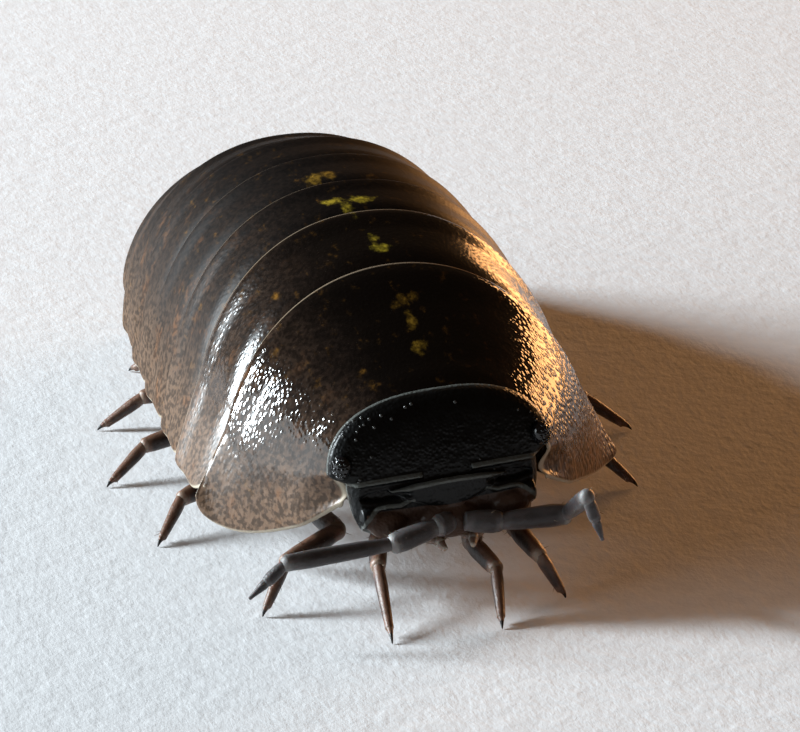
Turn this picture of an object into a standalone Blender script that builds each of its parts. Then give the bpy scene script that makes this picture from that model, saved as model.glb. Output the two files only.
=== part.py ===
"""A pill woodlouse, life size, standing on the floor with its head towards -Y and its back up.

Every plate of the back, the head, each eye, feeler and leg is an object of its own. Metres, +Z up.
"""

import math

import bmesh
import bpy
from mathutils import Matrix, Vector

MM = 0.001

# The outline of the back, which is 14 mm long from the neck to the tip of the tail plate.
CREST_Y = 0.35 * MM
CREST_Z = 4.83 * MM
FRONT_FALL = 1.98 * MM
FRONT_RUN = 6.45 * MM
REAR_FALL = 4.02 * MM
REAR_RUN = 7.75 * MM
FALL_POWER = 2.48
WIDEST_Y = -0.15 * MM
HALF_WIDTH = 3.22 * MM
PLAN_FRONT = 8.55 * MM
PLAN_REAR = 8.35 * MM
PLAN_POWER = 2.6
ARCH_ACROSS = 0.92
ARCH_DOWN = 0.95
BELLY_Z = 1.72 * MM
BELLY_COVER = 0.45 * MM
PLATE_COVER = 0.20 * MM
BELLY_SPREAD = 1.15
BELLY_BOW = 6
BELLY_RISE = 0.1 * MM

# The rear edge of each ring of the trunk: how far it lies behind the one before along the
# midline, how far it is drawn back at the hems and by what power, its flare, and its hem.
NECK_Y = -5.78 * MM
PEREON_EDGES = [
    (2.62 * MM, -0.80 * MM, 1.5, 0.50 * MM, 1.08 * MM),
    (1.62 * MM, -0.84 * MM, 1.8, 0.34 * MM, 1.03 * MM),
    (1.29 * MM, -0.42 * MM, 2.0, 0.16 * MM, 0.95 * MM),
    (1.38 * MM, -0.05 * MM, 3.0, 0.06 * MM, 0.90 * MM),
    (1.37 * MM, 0.16 * MM, 3.0, 0.0, 0.88 * MM),
    (1.34 * MM, 0.42 * MM, 3.5, 0.0, 0.88 * MM),
    (1.25 * MM, 1.00 * MM, 4.0, 0.0, 0.88 * MM),
]
PLEON_EDGES = [
    (0.36 * MM, 0.70 * MM, 4.0, 0.0, 0.88 * MM),
    (0.36 * MM, 0.36 * MM, 4.0, 0.0, 0.88 * MM),
    (0.52 * MM, 0.50 * MM, 3.0, 0.0, 0.87 * MM),
    (0.50 * MM, 0.42 * MM, 3.0, 0.0, 0.86 * MM),
    (0.48 * MM, 0.32 * MM, 3.0, 0.0, 0.85 * MM),
]
NARROW_COUNT = 2
NARROW_REACH = 0.90
PLATE_GAP = 0.10 * MM
TAIL_GAP = 0.14 * MM
FLARE_FROM = 0.76
FLARE_POWER = 1.4

# The first ring opens round the head. Its left lobe is carried higher than its right one.
NECK_TOP = 3.27 * MM
NECK_HEM = 1.44 * MM
NECK_HALF = 1.86 * MM
NECK_LEAN = 0.20
SHOULDER_SHARE = 0.38
SHOULDER_SWEEP = -0.15 * MM
SHOULDER_HALF = 2.80 * MM
SHOULDER_HEM_RIGHT = 0.76 * MM
SHOULDER_HEM_LEFT = 0.98 * MM
LEFT_DROP = 0.14 * MM

# Its front corners are drawn in and up round the cheeks.
BEND_FROM = 0.78
BEND_IN = 0.18 * MM
BEND_UP = 0.18 * MM
BEND_TURN = 2.3
BEND_POWER = 1.5
BEND_RUN = 0.16

LATERAL_STEPS = 20
STEP_DOWN = 0.15 * MM
STEP_END = 0.30
STEP_RUN = 0.25
LIP_FROM = 0.66
LIP = 0.05 * MM
HEM_THICK = 0.34 * MM
HEM_SHARE = 0.88
HEM_SLOPE = 1.6
HEM_RISES = [rise * MM for rise in (0.0, 0.13, 0.10, 0.06, 0.06, 0.06, 0.06)]
CORNER_FROM = 0.55

# Shares of a plate's length from front to rear, and how high each stands over the outline.
# The first plate has no step behind its front edge.
NECK_PLATE = [
    (0.0, 0.0),
    (0.10, 0.02 * MM),
    (0.22, 0.0),
    (SHOULDER_SHARE, 0.0),
    (0.60, 0.0),
    (0.80, LIP * 0.3),
    (0.93, LIP),
    (1.0, LIP * 0.3),
]

# The tail plate and the flat tail limbs that close the outline beside it.
TELSON_LENGTH = 0.76 * MM
TELSON_BASE_HALF = 0.86 * MM
TELSON_TIP_HALF = 0.36 * MM
TELSON_CURVE = 0.8
TELSON_BOW = 0.05 * MM
UROPOD_FRONT_HALF = 1.37 * MM
UROPOD_REAR_HALF = 0.92 * MM
UROPOD_FRONT_BOW = 0.12 * MM
UROPOD_REAR_BOW = 0.20 * MM
UROPOD_SHORT = 0.06 * MM
TAIL_HEM = 0.80 * MM
TAIL_THICK = 0.36 * MM
TAIL_THINNING = 0.35
TAIL_ROUNDING = 0.05 * MM
TAIL_HEM_THICK = 0.24 * MM
PLEOPOD_COUNT = 5
PLEOPOD_Y = 5.10 * MM
PLEOPOD_LENGTH = 0.35 * MM
PLEOPOD_RUN = 0.85
PLEOPOD_HALF = 1.25 * MM
PLEOPOD_TOP = 1.44 * MM
PLEOPOD_THICK = 0.16 * MM
PLEOPOD_DROP = 0.12 * MM
PLEOPOD_BOW = 0.10 * MM
PLEOPOD_NARROWING = 0.11
PLEOPOD_COLUMNS = 5

# The head, a rounded capsule whose loops are a share of its outline and a depth in front of
# its flat back, and what stands on its face.
HEAD_Z = 1.933 * MM
HEAD_HALF = 1.832 * MM
HEAD_UP = 1.225 * MM
HEAD_DOWN = 1.02 * MM
HEAD_ROUND = 2.53
HEAD_AROUND = 28
HEAD_TILT = 0.045
HEAD_SHIFT = (-0.104 * MM, 0.0, 0.153 * MM)
HEAD_PIVOT = (0.0, -5.90 * MM, 2.10 * MM)
HEAD_RINGS = [
    (0.95, 0.0),
    (1.0, 0.08 * MM),
    (0.99, 0.15 * MM),
    (0.93, 0.24 * MM),
    (0.80, 0.32 * MM),
    (0.62, 0.38 * MM),
    (0.40, 0.42 * MM),
    (0.18, 0.44 * MM),
]
EYE_PLACE = (1.62 * MM, -6.36 * MM, 2.28 * MM)
EYE_SIZE = (0.165 * MM, 0.165 * MM, 0.205 * MM)
SEAT_GAP = 0.05 * MM
BROW_Z = 2.011 * MM
BROW_INNER = 0.40 * MM
BROW_OUTER = 1.56 * MM
BROW_DROP = 0.06 * MM
BROW_RADIUS = 0.055 * MM
BROW_PROUD = 1.6
SHIELD_HALF = 0.92 * MM
SHIELD_TOP = 1.843 * MM
SHIELD_ARCH = 0.10 * MM
SHIELD_APEX = 1.42 * MM
SHIELD_PROUD = 0.16 * MM
SHIELD_THICK = 0.16 * MM
SHIELD_CORNER = 0.05 * MM
SHIELD_ROOT = 0.25 * MM
# Each swelling: its place across and up, how far forward of the face it is centred, its half sizes.
LOBE = (1.28 * MM, 1.42 * MM, 0.0, (0.24 * MM, 0.17 * MM, 0.19 * MM))
CHEEK = (1.02 * MM, 1.30 * MM, 0.0, (0.30 * MM, 0.17 * MM, 0.24 * MM))
CLYPEUS = (0.0, 1.20 * MM, -0.02 * MM, (0.52 * MM, 0.22 * MM, 0.30 * MM))
MOUTH_HALF = 0.31 * MM
MOUTH_Y = -6.36 * MM
MOUTH_Z = 1.05 * MM
MOUTH_SIZE = (0.25 * MM, 0.38 * MM, 0.13 * MM)
PALP_ROOT = (0.0, -0.24 * MM, 0.0)
PALP_TIP = (-0.08 * MM, -0.50 * MM, -0.08 * MM)
PALP_RADII = (0.11 * MM, 0.08 * MM)

LIMB_SIDES = 7
LIMB_GAP = 0.10 * MM
FLAT_RADIUS = 0.10 * MM

# The joints of each feeler from its socket to the end of its stalk, in mm. The left one points
# forward and up, and the right one out to the side.
RIGHT_FEELER = [
    (-0.14, -6.84, 1.42),
    (-0.36, -6.92, 1.40),
    (-1.10, -7.00, 1.24),
    (-2.92, -7.34, 1.32),
]
LEFT_FEELER = [
    (0.14, -6.84, 1.38),
    (0.64, -6.92, 1.34),
    (1.70, -7.06, 1.38),
    (1.61, -8.40, 2.26),
]
RIGHT_LASH_TIP = (-3.53, -7.44, 0.86)
LEFT_LASH_TIP = (1.82, -8.50, 1.55)
FEELER_RADII = (0.21, 0.23, 0.22, 0.19)
LINK_NECK = 0.9
LASH_RADII = [(0.13 * MM, 0.12 * MM), (0.11 * MM, 0.06 * MM)]
LASH_JOINT = 0.52

# Where the feet stand, front to rear, in mm, and the three joints above the foot of the
# legs that reach forward under the head.
RIGHT_FEET = [
    (-1.42, -7.97),
    (-3.10, -6.42),
    (-4.10, -3.35),
    (-4.40, -0.75),
    (-4.05, 1.70),
    (-2.95, 4.20),
    (-2.30, 6.10),
]
LEFT_FEET = [
    (0.35, -7.99),
    (1.63, -7.24),
    (4.11, -3.51),
    (4.80, -1.19),
    (4.40, 1.30),
    (4.00, 3.95),
    (3.20, 6.30),
]
FRONT_JOINTS = {
    ("right", 1): ((-0.86, -5.50, 0.84), (-1.10, -6.02, 0.78), (-1.27, -6.65, 0.72)),
    ("right", 2): ((-1.75, -4.50, 0.82), (-1.60, -5.42, 0.84), (-2.62, -6.05, 0.72)),
    ("left", 1): ((0.62, -5.55, 0.76), (0.44, -6.05, 0.62), (0.53, -7.10, 0.62)),
    ("left", 2): ((1.78, -4.60, 0.78), (1.18, -6.05, 0.76), (1.28, -7.02, 0.70)),
}
LEG_ROOT_X = [x * MM for x in (1.50, 1.80, 1.85, 1.85, 1.85, 1.80, 1.65)]
LEG_ROOT_Y = [y * MM for y in (-5.00, -2.95, -1.25, 0.30, 1.75, 3.10, 4.45)]
HIP_DROP = 0.08 * MM
KNEE_IN = 0.75 * MM
KNEE_Z = 0.98 * MM
ANKLE_RUN = 0.85 * MM
ANKLE_Z = 0.52 * MM

# How a leg runs from its hip to its ankle, and the radius at the start and end of each link.
KNEE_SHARE = 0.42
KNEE_LIFT = 0.06 * MM
WRIST_SHARE = 0.70
WRIST_SINK = 0.05 * MM
CLAW_SHARE = 0.80
FAN_OUT = 1.2
HIP_SWING = 0.12
LEG_RADII = [
    (0.22 * MM, 0.25 * MM),
    (0.22 * MM, 0.25 * MM),
    (0.21 * MM, 0.24 * MM),
    (0.20 * MM, 0.22 * MM),
    (0.17 * MM, 0.13 * MM),
    (0.12 * MM, FLAT_RADIUS),
]

SHELL_DARK = (0.022, 0.018, 0.016, 1.0)
HEAD_DARK = (0.020, 0.019, 0.019, 1.0)
LIMB_BROWN = (0.135, 0.085, 0.060, 1.0)
FEELER_GREY = (0.150, 0.140, 0.140, 1.0)
EYE_BLACK = (0.006, 0.006, 0.007, 1.0)
MOUTH_TAN = (0.230, 0.170, 0.130, 1.0)


def finish(name, colour, roughness):
    """A plain material for one kind of surface."""
    made = bpy.data.materials.new(name)
    made.use_nodes = True
    shader = made.node_tree.nodes["Principled BSDF"]
    shader.inputs["Base Color"].default_value = colour
    shader.inputs["Roughness"].default_value = roughness
    shader.inputs["Metallic"].default_value = 0.0
    return made


def collection(name):
    """A new collection in the scene."""
    made = bpy.data.collections.new(name)
    bpy.context.scene.collection.children.link(made)
    return made


def to_object(name, bm, material, place=None):
    """Turns a bmesh into an object of the animal, or of another collection."""
    bmesh.ops.recalc_face_normals(bm, faces=bm.faces)
    mesh = bpy.data.meshes.new(name)
    bm.to_mesh(mesh)
    bm.free()
    mesh.materials.append(material)
    mesh.shade_smooth()
    mesh.set_sharp_from_angle(angle=math.radians(40))
    made = bpy.data.objects.new(name, mesh)
    (place or animal).objects.link(made)
    return made


def add_grid(bm, rows):
    """Vertices and quads of one surface, given as rows of points."""
    verts = [[bm.verts.new(p) for p in row] for row in rows]
    for upper, lower in zip(verts, verts[1:]):
        for i in range(len(upper) - 1):
            bm.faces.new((upper[i], upper[i + 1], lower[i + 1], lower[i]))
    return verts


def border(verts):
    """The vertices round the edge of a grid."""
    left = [row[0] for row in verts]
    right = [row[-1] for row in verts]
    return verts[0] + right[1:] + verts[-1][::-1][1:] + left[::-1][1:-1]


def slab(outer, inner):
    """A closed body between an outer and an inner surface of the same rows and columns."""
    bm = bmesh.new()
    outside = border(add_grid(bm, outer))
    inside = border(add_grid(bm, inner))
    count = len(outside)
    for i in range(count):
        j = (i + 1) % count
        bm.faces.new((outside[i], inside[i], inside[j], outside[j]))
    return bm


def loft(loops):
    """A closed body through loops of points, with a fan on each end."""
    bm = bmesh.new()
    rings = [[bm.verts.new(p) for p in loop] for loop in loops]
    count = len(rings[0])
    for first, second in zip(rings, rings[1:]):
        for i in range(count):
            j = (i + 1) % count
            bm.faces.new((first[i], first[j], second[j], second[i]))
    for ring in (rings[0], rings[-1]):
        middle = bm.verts.new(sum((v.co for v in ring), Vector()) / count)
        for i in range(count):
            bm.faces.new((ring[i], ring[(i + 1) % count], middle))
    return bm


def ball(centre, size, segments=12, rings=8):
    """A closed ellipsoid of given half sizes."""
    bm = bmesh.new()
    bmesh.ops.create_uvsphere(bm, u_segments=segments, v_segments=rings, radius=1.0)
    for v in bm.verts:
        v.co = Vector(centre) + Vector((v.co.x * size[0], v.co.y * size[1], v.co.z * size[2]))
    return bm


def article(start, end, start_radius, end_radius):
    """One closed link of a leg or feeler: narrow at its start, widest near its end."""
    run = end - start
    along = run.normalized()
    side = along.cross(Vector((0.0, 0.0, 1.0)))
    if side.length < 0.1:
        side = along.cross(Vector((1.0, 0.0, 0.0)))
    side.normalize()
    up = side.cross(along)
    stations = [
        (-0.4 * start_radius / run.length, 0.6 * start_radius),
        (0.12, start_radius),
        (0.86, end_radius),
        (1.0 + 0.4 * end_radius / run.length, 0.6 * end_radius),
    ]
    loops = []
    for share, radius in stations:
        loop = []
        for k in range(LIMB_SIDES):
            turn = 2 * math.pi * (k + 0.5) / LIMB_SIDES
            ray = side * math.cos(turn) + up * math.sin(turn)
            loop.append(start + run * share + ray * radius)
        loops.append(loop)
    return loft(loops)


def largest_body(bm):
    """Keeps only the largest closed surface of a mesh."""
    groups, seen = [], set()
    for start in bm.faces:
        if start in seen:
            continue
        group, todo = [], [start]
        seen.add(start)
        while todo:
            face = todo.pop()
            group.append(face)
            for edge in face.edges:
                for other in edge.link_faces:
                    if other not in seen:
                        seen.add(other)
                        todo.append(other)
        groups.append(group)
    groups.sort(key=lambda faces: sum(f.calc_area() for f in faces))
    scraps = [face for group in groups[:-1] for face in group]
    bmesh.ops.delete(bm, geom=scraps, context="FACES")


def fuse(name, pieces, material, cut_from=None):
    """One closed body from overlapping closed pieces, less the pieces of cut_from."""
    base, *rest = [to_object(f"{name}_part", bm, material, workshop) for bm in pieces]
    cutters = [to_object(f"{name}_cutter", bm, material, workshop) for bm in cut_from or []]
    for operation, tools in (("UNION", rest), ("DIFFERENCE", cutters)):
        if not tools:
            continue
        group = collection(f"{name}_{operation.lower()}")
        for tool in tools:
            workshop.objects.unlink(tool)
            group.objects.link(tool)
        boolean = base.modifiers.new(operation.title(), "BOOLEAN")
        boolean.operation = operation
        boolean.operand_type = "COLLECTION"
        boolean.solver = "EXACT"
        boolean.collection = group
        bpy.context.view_layer.update()
        fused = base.evaluated_get(bpy.context.evaluated_depsgraph_get())
        mesh = bpy.data.meshes.new_from_object(fused)
        base.modifiers.clear()
        base.data = mesh
        for tool in tools:
            bpy.data.objects.remove(tool, do_unlink=True)
        bpy.data.collections.remove(group)
    bm = bmesh.new()
    bm.from_mesh(base.data)
    bpy.data.objects.remove(base, do_unlink=True)
    bmesh.ops.remove_doubles(bm, verts=bm.verts, dist=0.0005 * MM)
    bmesh.ops.triangulate(bm, faces=bm.faces)
    largest_body(bm)
    return bm


def cut_flat(bm):
    """Cuts off what lies below the floor and closes the cut with a flat."""
    geometry = [*bm.verts, *bm.edges, *bm.faces]
    floor = {"plane_co": (0, 0, 0), "plane_no": (0, 0, 1)}
    cut = bmesh.ops.bisect_plane(bm, geom=geometry, clear_inner=True, **floor)
    edges = [item for item in cut["geom_cut"] if isinstance(item, bmesh.types.BMEdge)]
    bmesh.ops.holes_fill(bm, edges=edges, sides=0)
    bmesh.ops.triangulate(bm, faces=bm.faces)
    return bm


def crest(y):
    """Height of the back along the midline."""
    if y < CREST_Y:
        return CREST_Z - FRONT_FALL * (abs(y - CREST_Y) / FRONT_RUN) ** FALL_POWER
    return CREST_Z - REAR_FALL * (abs(y - CREST_Y) / REAR_RUN) ** FALL_POWER


def half_width(y):
    """Half the width of the back in plan."""
    run = PLAN_FRONT if y < WIDEST_Y else PLAN_REAR
    share = min(abs(y - WIDEST_Y) / run, 0.995)
    return HALF_WIDTH * (1 - share**PLAN_POWER) ** (1 / PLAN_POWER)


def arch(t):
    """Across and down shares of the back's arch at t, from -1 at the right hem to 1 at the left."""
    turn = abs(t) * math.pi / 2
    across = math.copysign(math.sin(turn) ** ARCH_ACROSS, t)
    return across, 1 - max(math.cos(turn), 0.0) ** ARCH_DOWN


def outward(t):
    """The direction that faces out of the back at t."""
    turn = t * math.pi / 2
    return Vector((math.sin(turn), 0.0, max(math.cos(turn), 0.0)))


def margin(y, sweep, power, flare, hem, left_drop=0.0):
    """The rear edge of a plate as a function of t, from its midline place and its shape."""

    def point(t):
        across, down = arch(t)
        edge = max(abs(t) - FLARE_FROM, 0.0) / (1 - FLARE_FROM)
        real_y = y + sweep * abs(t) ** power
        top = crest(real_y)
        x = half_width(real_y) * across + math.copysign(flare * edge**FLARE_POWER, t)
        low = hem - left_drop if t > 0 else hem
        return Vector((x, real_y, top - (top - low) * down))

    return point


def neck(t):
    """The front edge of the first plate, which leans forward round the head."""
    across, down = arch(t)
    z = NECK_TOP - (NECK_TOP - NECK_HEM) * down
    return Vector((NECK_HALF * across, NECK_Y - NECK_LEAN * (NECK_TOP - z), z))


def shoulder(t):
    """A cross line of the first plate, where its hem is lowest."""
    across, down = arch(t)
    y = NECK_Y + SHOULDER_SHARE * PEREON_EDGES[0][0] + SHOULDER_SWEEP * abs(t) ** 3
    top = crest(y)
    hem = SHOULDER_HEM_LEFT if t > 0 else SHOULDER_HEM_RIGHT
    return Vector((SHOULDER_HALF * across, y, top - (top - hem) * down))


def bend(t, share):
    """How far a place near a front corner of the first plate is drawn in and up."""
    edge = max(abs(t) - BEND_FROM, 0.0) / (1 - BEND_FROM)
    fade = max(1 - share / BEND_RUN, 0.0) ** BEND_POWER
    inward = BEND_IN * math.sin(BEND_TURN * edge) ** BEND_POWER
    rise = BEND_UP * edge
    return Vector((-math.copysign(inward, t), NECK_LEAN * rise, rise)) * fade


def between(lines, t, share):
    """A place on the smooth surface through two or three cross lines, at a share of the way."""
    points = [line(t) for line in lines]
    if len(points) == 2:
        return points[0].lerp(points[1], share)
    middle = SHOULDER_SHARE
    first = (share - middle) * (share - 1) / middle
    second = share * (share - 1) / (middle * (middle - 1))
    third = share * (share - middle) / (1 - middle)
    return points[0] * first + points[1] * second + points[2] * third + bend(t, share)


def plate_rows(lines, profile, reach=1.0, corner=0.0):
    """Rows of the outer surface of a plate.

    lines are its cross lines from front to rear, profile holds pairs of (share of the
    length, height over the outline), reach is how much of the arch it covers, and corner
    is how far the hem's ends rise.
    """
    steps = round(LATERAL_STEPS * reach)
    rows = []
    for share, lift in profile:
        row = []
        for i in range(steps + 1):
            t = (2 * i / steps - 1) * reach
            p = between(lines, t, share) + outward(t) * lift
            low = max(abs(t) - CORNER_FROM, 0.0) / (1 - CORNER_FROM)
            p.z += corner * abs(2 * share - 1) ** 4 * low**3
            row.append(p)
        rows.append(row)
    return rows


def under_rows(outer, wall, reach=1.0, cover=None):
    """Rows of the inner surface: a thin wall along each hem, and the flat belly between them.

    cover is how far the belly stays below the outer surface where the back comes down to it.
    """
    steps = round(LATERAL_STEPS * reach)
    found = []
    for row in outer:
        middle = row[steps // 2]
        belly = min(BELLY_Z, middle.z - BELLY_COVER)
        inner = []
        for i, p in enumerate(row):
            t = (2 * i / steps - 1) * reach
            if abs(t) > HEM_SHARE:
                q = p - Vector((math.copysign(wall, t), 0.0, 0.0))
            else:
                across, _ = arch(t)
                half = abs(p.x / across) if across else 0.0
                spread = abs(t) / HEM_SHARE
                x = math.copysign((half - wall * HEM_SLOPE) * spread**BELLY_SPREAD, t)
                y = middle.y + (p.y - middle.y) * spread ** (1 if p.y < middle.y else BELLY_BOW)
                z = belly + BELLY_RISE * spread**4
                if cover:
                    z = min(z, p.z - cover)
                q = Vector((x, y, z))
            inner.append(q)
        found.append(inner)
    return found


def ring_profile(length, gap, lip):
    """How a plate steps up behind its front edge and swells to a lip along its rear edge."""
    front = gap / length
    risen = max(STEP_END, front + STEP_RUN)
    return [(front, -STEP_DOWN), (risen, 0.0), (LIP_FROM, 0.0), (0.90, lip), (1.0, lip * 0.3)]


def build_pereon():
    """The seven rings of the trunk, each a plate, two side lobes and a piece of the belly."""
    y, front = NECK_Y, neck
    for number, (length, sweep, power, flare, hem) in enumerate(PEREON_EDGES, 1):
        y += length
        rear = margin(y, sweep, power, flare, hem, LEFT_DROP if number == 1 else 0.0)
        if number == 1:
            outer = plate_rows([neck, shoulder, rear], NECK_PLATE)
        else:
            profile = ring_profile(length, PLATE_GAP, LIP)
            outer = plate_rows([front, rear], profile, corner=HEM_RISES[number - 1])
        to_object(f"pereonite_{number}", slab(outer, under_rows(outer, HEM_THICK)), shell)
        front = rear
    return y, front


def build_pleon(y, front):
    """The five rings behind the trunk: two narrow ones under its last plate, three with lobes."""
    for number, (length, sweep, power, flare, hem) in enumerate(PLEON_EDGES, 1):
        y += length
        line = margin(y, sweep, power, flare, hem)
        reach, cover = (NARROW_REACH, None) if number <= NARROW_COUNT else (1.0, PLATE_COVER)
        outer = plate_rows([front, line], ring_profile(length, TAIL_GAP, LIP * 0.6), reach)
        under = under_rows(outer, TAIL_HEM_THICK, reach, cover)
        to_object(f"pleonite_{number}", slab(outer, under), shell)
        front = line
    return y


def back_height(x, y, hem):
    """Height of the back's outline over a place in plan."""
    across = min(abs(x) / half_width(y), 1.0) ** (1 / ARCH_ACROSS)
    down = 1 - math.sqrt(max(1 - across**2, 0.0)) ** ARCH_DOWN
    return crest(y) - (crest(y) - hem) * down


def tail_slab(place, columns, rows):
    """A plate on the outline of the back, from a plan that takes shares across and along."""
    outer, inner = [], []
    for j in range(rows + 1):
        upper, lower = [], []
        for i in range(columns + 1):
            x, y = place(i / columns, j / rows)
            edge = min(i, columns - i) / columns
            z = back_height(x, y, TAIL_HEM) - TAIL_ROUNDING * (1 - min(edge * 4, 1.0))
            upper.append(Vector((x, y, z)))
            lower.append(Vector((x, y, z - TAIL_THICK * (1 - TAIL_THINNING * j / rows))))
        outer.append(upper)
        inner.append(lower)
    return slab(outer, inner)


def telson_half(v):
    """Half the width of the tail plate at a share of its length."""
    return TELSON_BASE_HALF + (TELSON_TIP_HALF - TELSON_BASE_HALF) * v**TELSON_CURVE


def build_tail(y):
    """The tail plate with its blunt tip, and the two flat tail limbs beside it."""
    start, end = y + PLATE_GAP, y + TELSON_LENGTH

    def telson(u, v):
        spread = 2 * u - 1
        return spread * telson_half(v), start + (end - start) * v - TELSON_BOW * spread**2 * v

    to_object("telson", tail_slab(telson, 8, 6), shell)
    for side, word in ((1, "left"), (-1, "right")):

        def uropod(u, v):
            inner_x = telson_half(v) + LIMB_GAP
            outer_x = UROPOD_FRONT_HALF + (UROPOD_REAR_HALF - UROPOD_FRONT_HALF) * v
            front_y = start + UROPOD_FRONT_BOW * u**2
            rear_y = end - UROPOD_SHORT - UROPOD_REAR_BOW * u**2
            return side * (inner_x + (outer_x - inner_x) * u), front_y + (rear_y - front_y) * v

        to_object(f"uropod_{word}", tail_slab(uropod, 6, 6), shell)


def head_plane(z):
    """Where the flat back of the head lies at a height."""
    return NECK_Y - PLATE_GAP - NECK_LEAN * (NECK_TOP - z)


def head_face(x, z):
    """How far forward the plain head reaches at a place seen from the front."""
    rise = (z - HEAD_Z) / (HEAD_UP if z > HEAD_Z else HEAD_DOWN)
    radius = (abs(x / HEAD_HALF) ** HEAD_ROUND + abs(rise) ** HEAD_ROUND) ** (1 / HEAD_ROUND)
    radii = [scale for scale, _ in HEAD_RINGS[1:]][::-1] + [1.5]
    depths = [depth for _, depth in HEAD_RINGS[1:]][::-1] + [0.0]
    if radius <= radii[0]:
        return head_plane(z) - depths[0]
    for r0, r1, d0, d1 in zip(radii, radii[1:], depths, depths[1:]):
        if radius <= r1:
            return head_plane(z) - (d0 + (d1 - d0) * (radius - r0) / (r1 - r0))
    return head_plane(z)


def head_capsule():
    """The plain rounded body of the head."""
    loops = []
    for scale, depth in HEAD_RINGS:
        loop = []
        for k in range(HEAD_AROUND):
            turn = 2 * math.pi * k / HEAD_AROUND
            c, s = math.cos(turn), math.sin(turn)
            x = math.copysign(abs(c) ** (2 / HEAD_ROUND), c) * HEAD_HALF * scale
            rise = math.copysign(abs(s) ** (2 / HEAD_ROUND), s) * scale
            z = HEAD_Z + rise * (HEAD_UP if rise > 0 else HEAD_DOWN)
            loop.append(Vector((x, head_plane(z) - depth, z)))
        loops.append(loop)
    return loft(loops)


def ridge(points, radius):
    """A thin closed strip along points on the face of the head, half sunk into it."""
    loops = []
    for place, size in points:
        x, z = place
        centre = Vector((x, head_face(x, z), z))
        high = radius * size
        loop = []
        for k in range(LIMB_SIDES):
            turn = 2 * math.pi * k / LIMB_SIDES
            step = Vector((0.0, -math.cos(turn) * high * BROW_PROUD, math.sin(turn) * high))
            loop.append(centre + step)
        loops.append(loop)
    return loft(loops)


def shield():
    """The triangular shield between the feelers, with its free upper edge in front of the brow."""
    rows_front, rows_back = [], []
    for j in range(5):
        v = j / 4
        front, back = [], []
        for i in range(9):
            u = i / 4 - 1
            half = SHIELD_HALF * (1 - v**1.25) + SHIELD_CORNER
            x = u * half
            top = SHIELD_TOP + SHIELD_ARCH * (1 - u * u)
            z = top + (SHIELD_APEX - top) * v
            proud = SHIELD_PROUD * (1 - 0.45 * v) * (1 - 0.35 * u * u)
            y = head_face(x, min(z, SHIELD_TOP)) - proud
            front.append(Vector((x, y, z)))
            back.append(Vector((x, y + SHIELD_THICK + SHIELD_ROOT * v, z)))
        rows_front.append(front)
        rows_back.append(back)
    return slab(rows_front, rows_back)


def swelling(side, form):
    """A rounded swelling on the face of the head."""
    x, z, proud, size = form
    return ball((side * x, head_face(x, z) - proud, z), size)


def brow(side):
    """The fine ridge above the feelers, from beside the shield out to the eye."""
    points = []
    for k in range(7):
        share = k / 6
        x = side * (BROW_INNER + (BROW_OUTER - BROW_INNER) * share)
        points.append(((x, BROW_Z - BROW_DROP * share**2), 1.0 - 0.3 * share))
    return ridge(points, BROW_RADIUS)


def carried(bm):
    """A piece of the head in the pose in which the head is carried, with its left side up."""
    pivot = Vector(HEAD_PIVOT)
    turn = Matrix.Rotation(-HEAD_TILT, 4, "Y")
    pose = Matrix.Translation(pivot + Vector(HEAD_SHIFT)) @ turn @ Matrix.Translation(-pivot)
    bmesh.ops.transform(bm, matrix=pose, verts=bm.verts)
    return bm


def build_head():
    """The head with its brow ridge, shield, feeler lobes and cheeks, and its two eyes."""
    pieces = [head_capsule(), shield(), swelling(1, CLYPEUS)]
    for side in (-1, 1):
        pieces += [brow(side), swelling(side, LOBE), swelling(side, CHEEK)]
    pieces = [carried(piece) for piece in pieces]
    seats = []
    for side, joints in ((-1, RIGHT_FEELER), (1, LEFT_FEELER)):
        place = (side * EYE_PLACE[0], EYE_PLACE[1], EYE_PLACE[2])
        seats.append(carried(ball(place, [size + SEAT_GAP for size in EYE_SIZE], 16, 10)))
        place = (side * MOUTH_HALF, MOUTH_Y, MOUTH_Z)
        seats.append(ball(place, [size + SEAT_GAP for size in MOUTH_SIZE], 16, 10))
        socket = [Vector(joint) * MM for joint in joints[:2]]
        seats.append(article(*socket, FEELER_RADII[0] * MM + LIMB_GAP, FEELER_RADII[1] * MM + LIMB_GAP))
    to_object("head", fuse("head", pieces, head_shell, seats), head_shell)
    for side, word in ((1, "left"), (-1, "right")):
        place = (side * EYE_PLACE[0], EYE_PLACE[1], EYE_PLACE[2])
        to_object(f"eye_{word}", carried(ball(place, EYE_SIZE)), eye_black)


def build_mouth():
    """The leaf-like pair of mouthparts that closes the head from below, each with its palp."""
    for side, word in ((1, "left"), (-1, "right")):
        root = Vector((side * MOUTH_HALF, MOUTH_Y, MOUTH_Z))
        start = root + Vector(PALP_ROOT)
        tip = root + Vector((side * PALP_TIP[0], PALP_TIP[1], PALP_TIP[2]))
        pieces = [ball(root, MOUTH_SIZE), article(start, tip, *PALP_RADII)]
        to_object(f"maxilliped_{word}", fuse("mouth", pieces, mouth_tan), mouth_tan)


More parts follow.
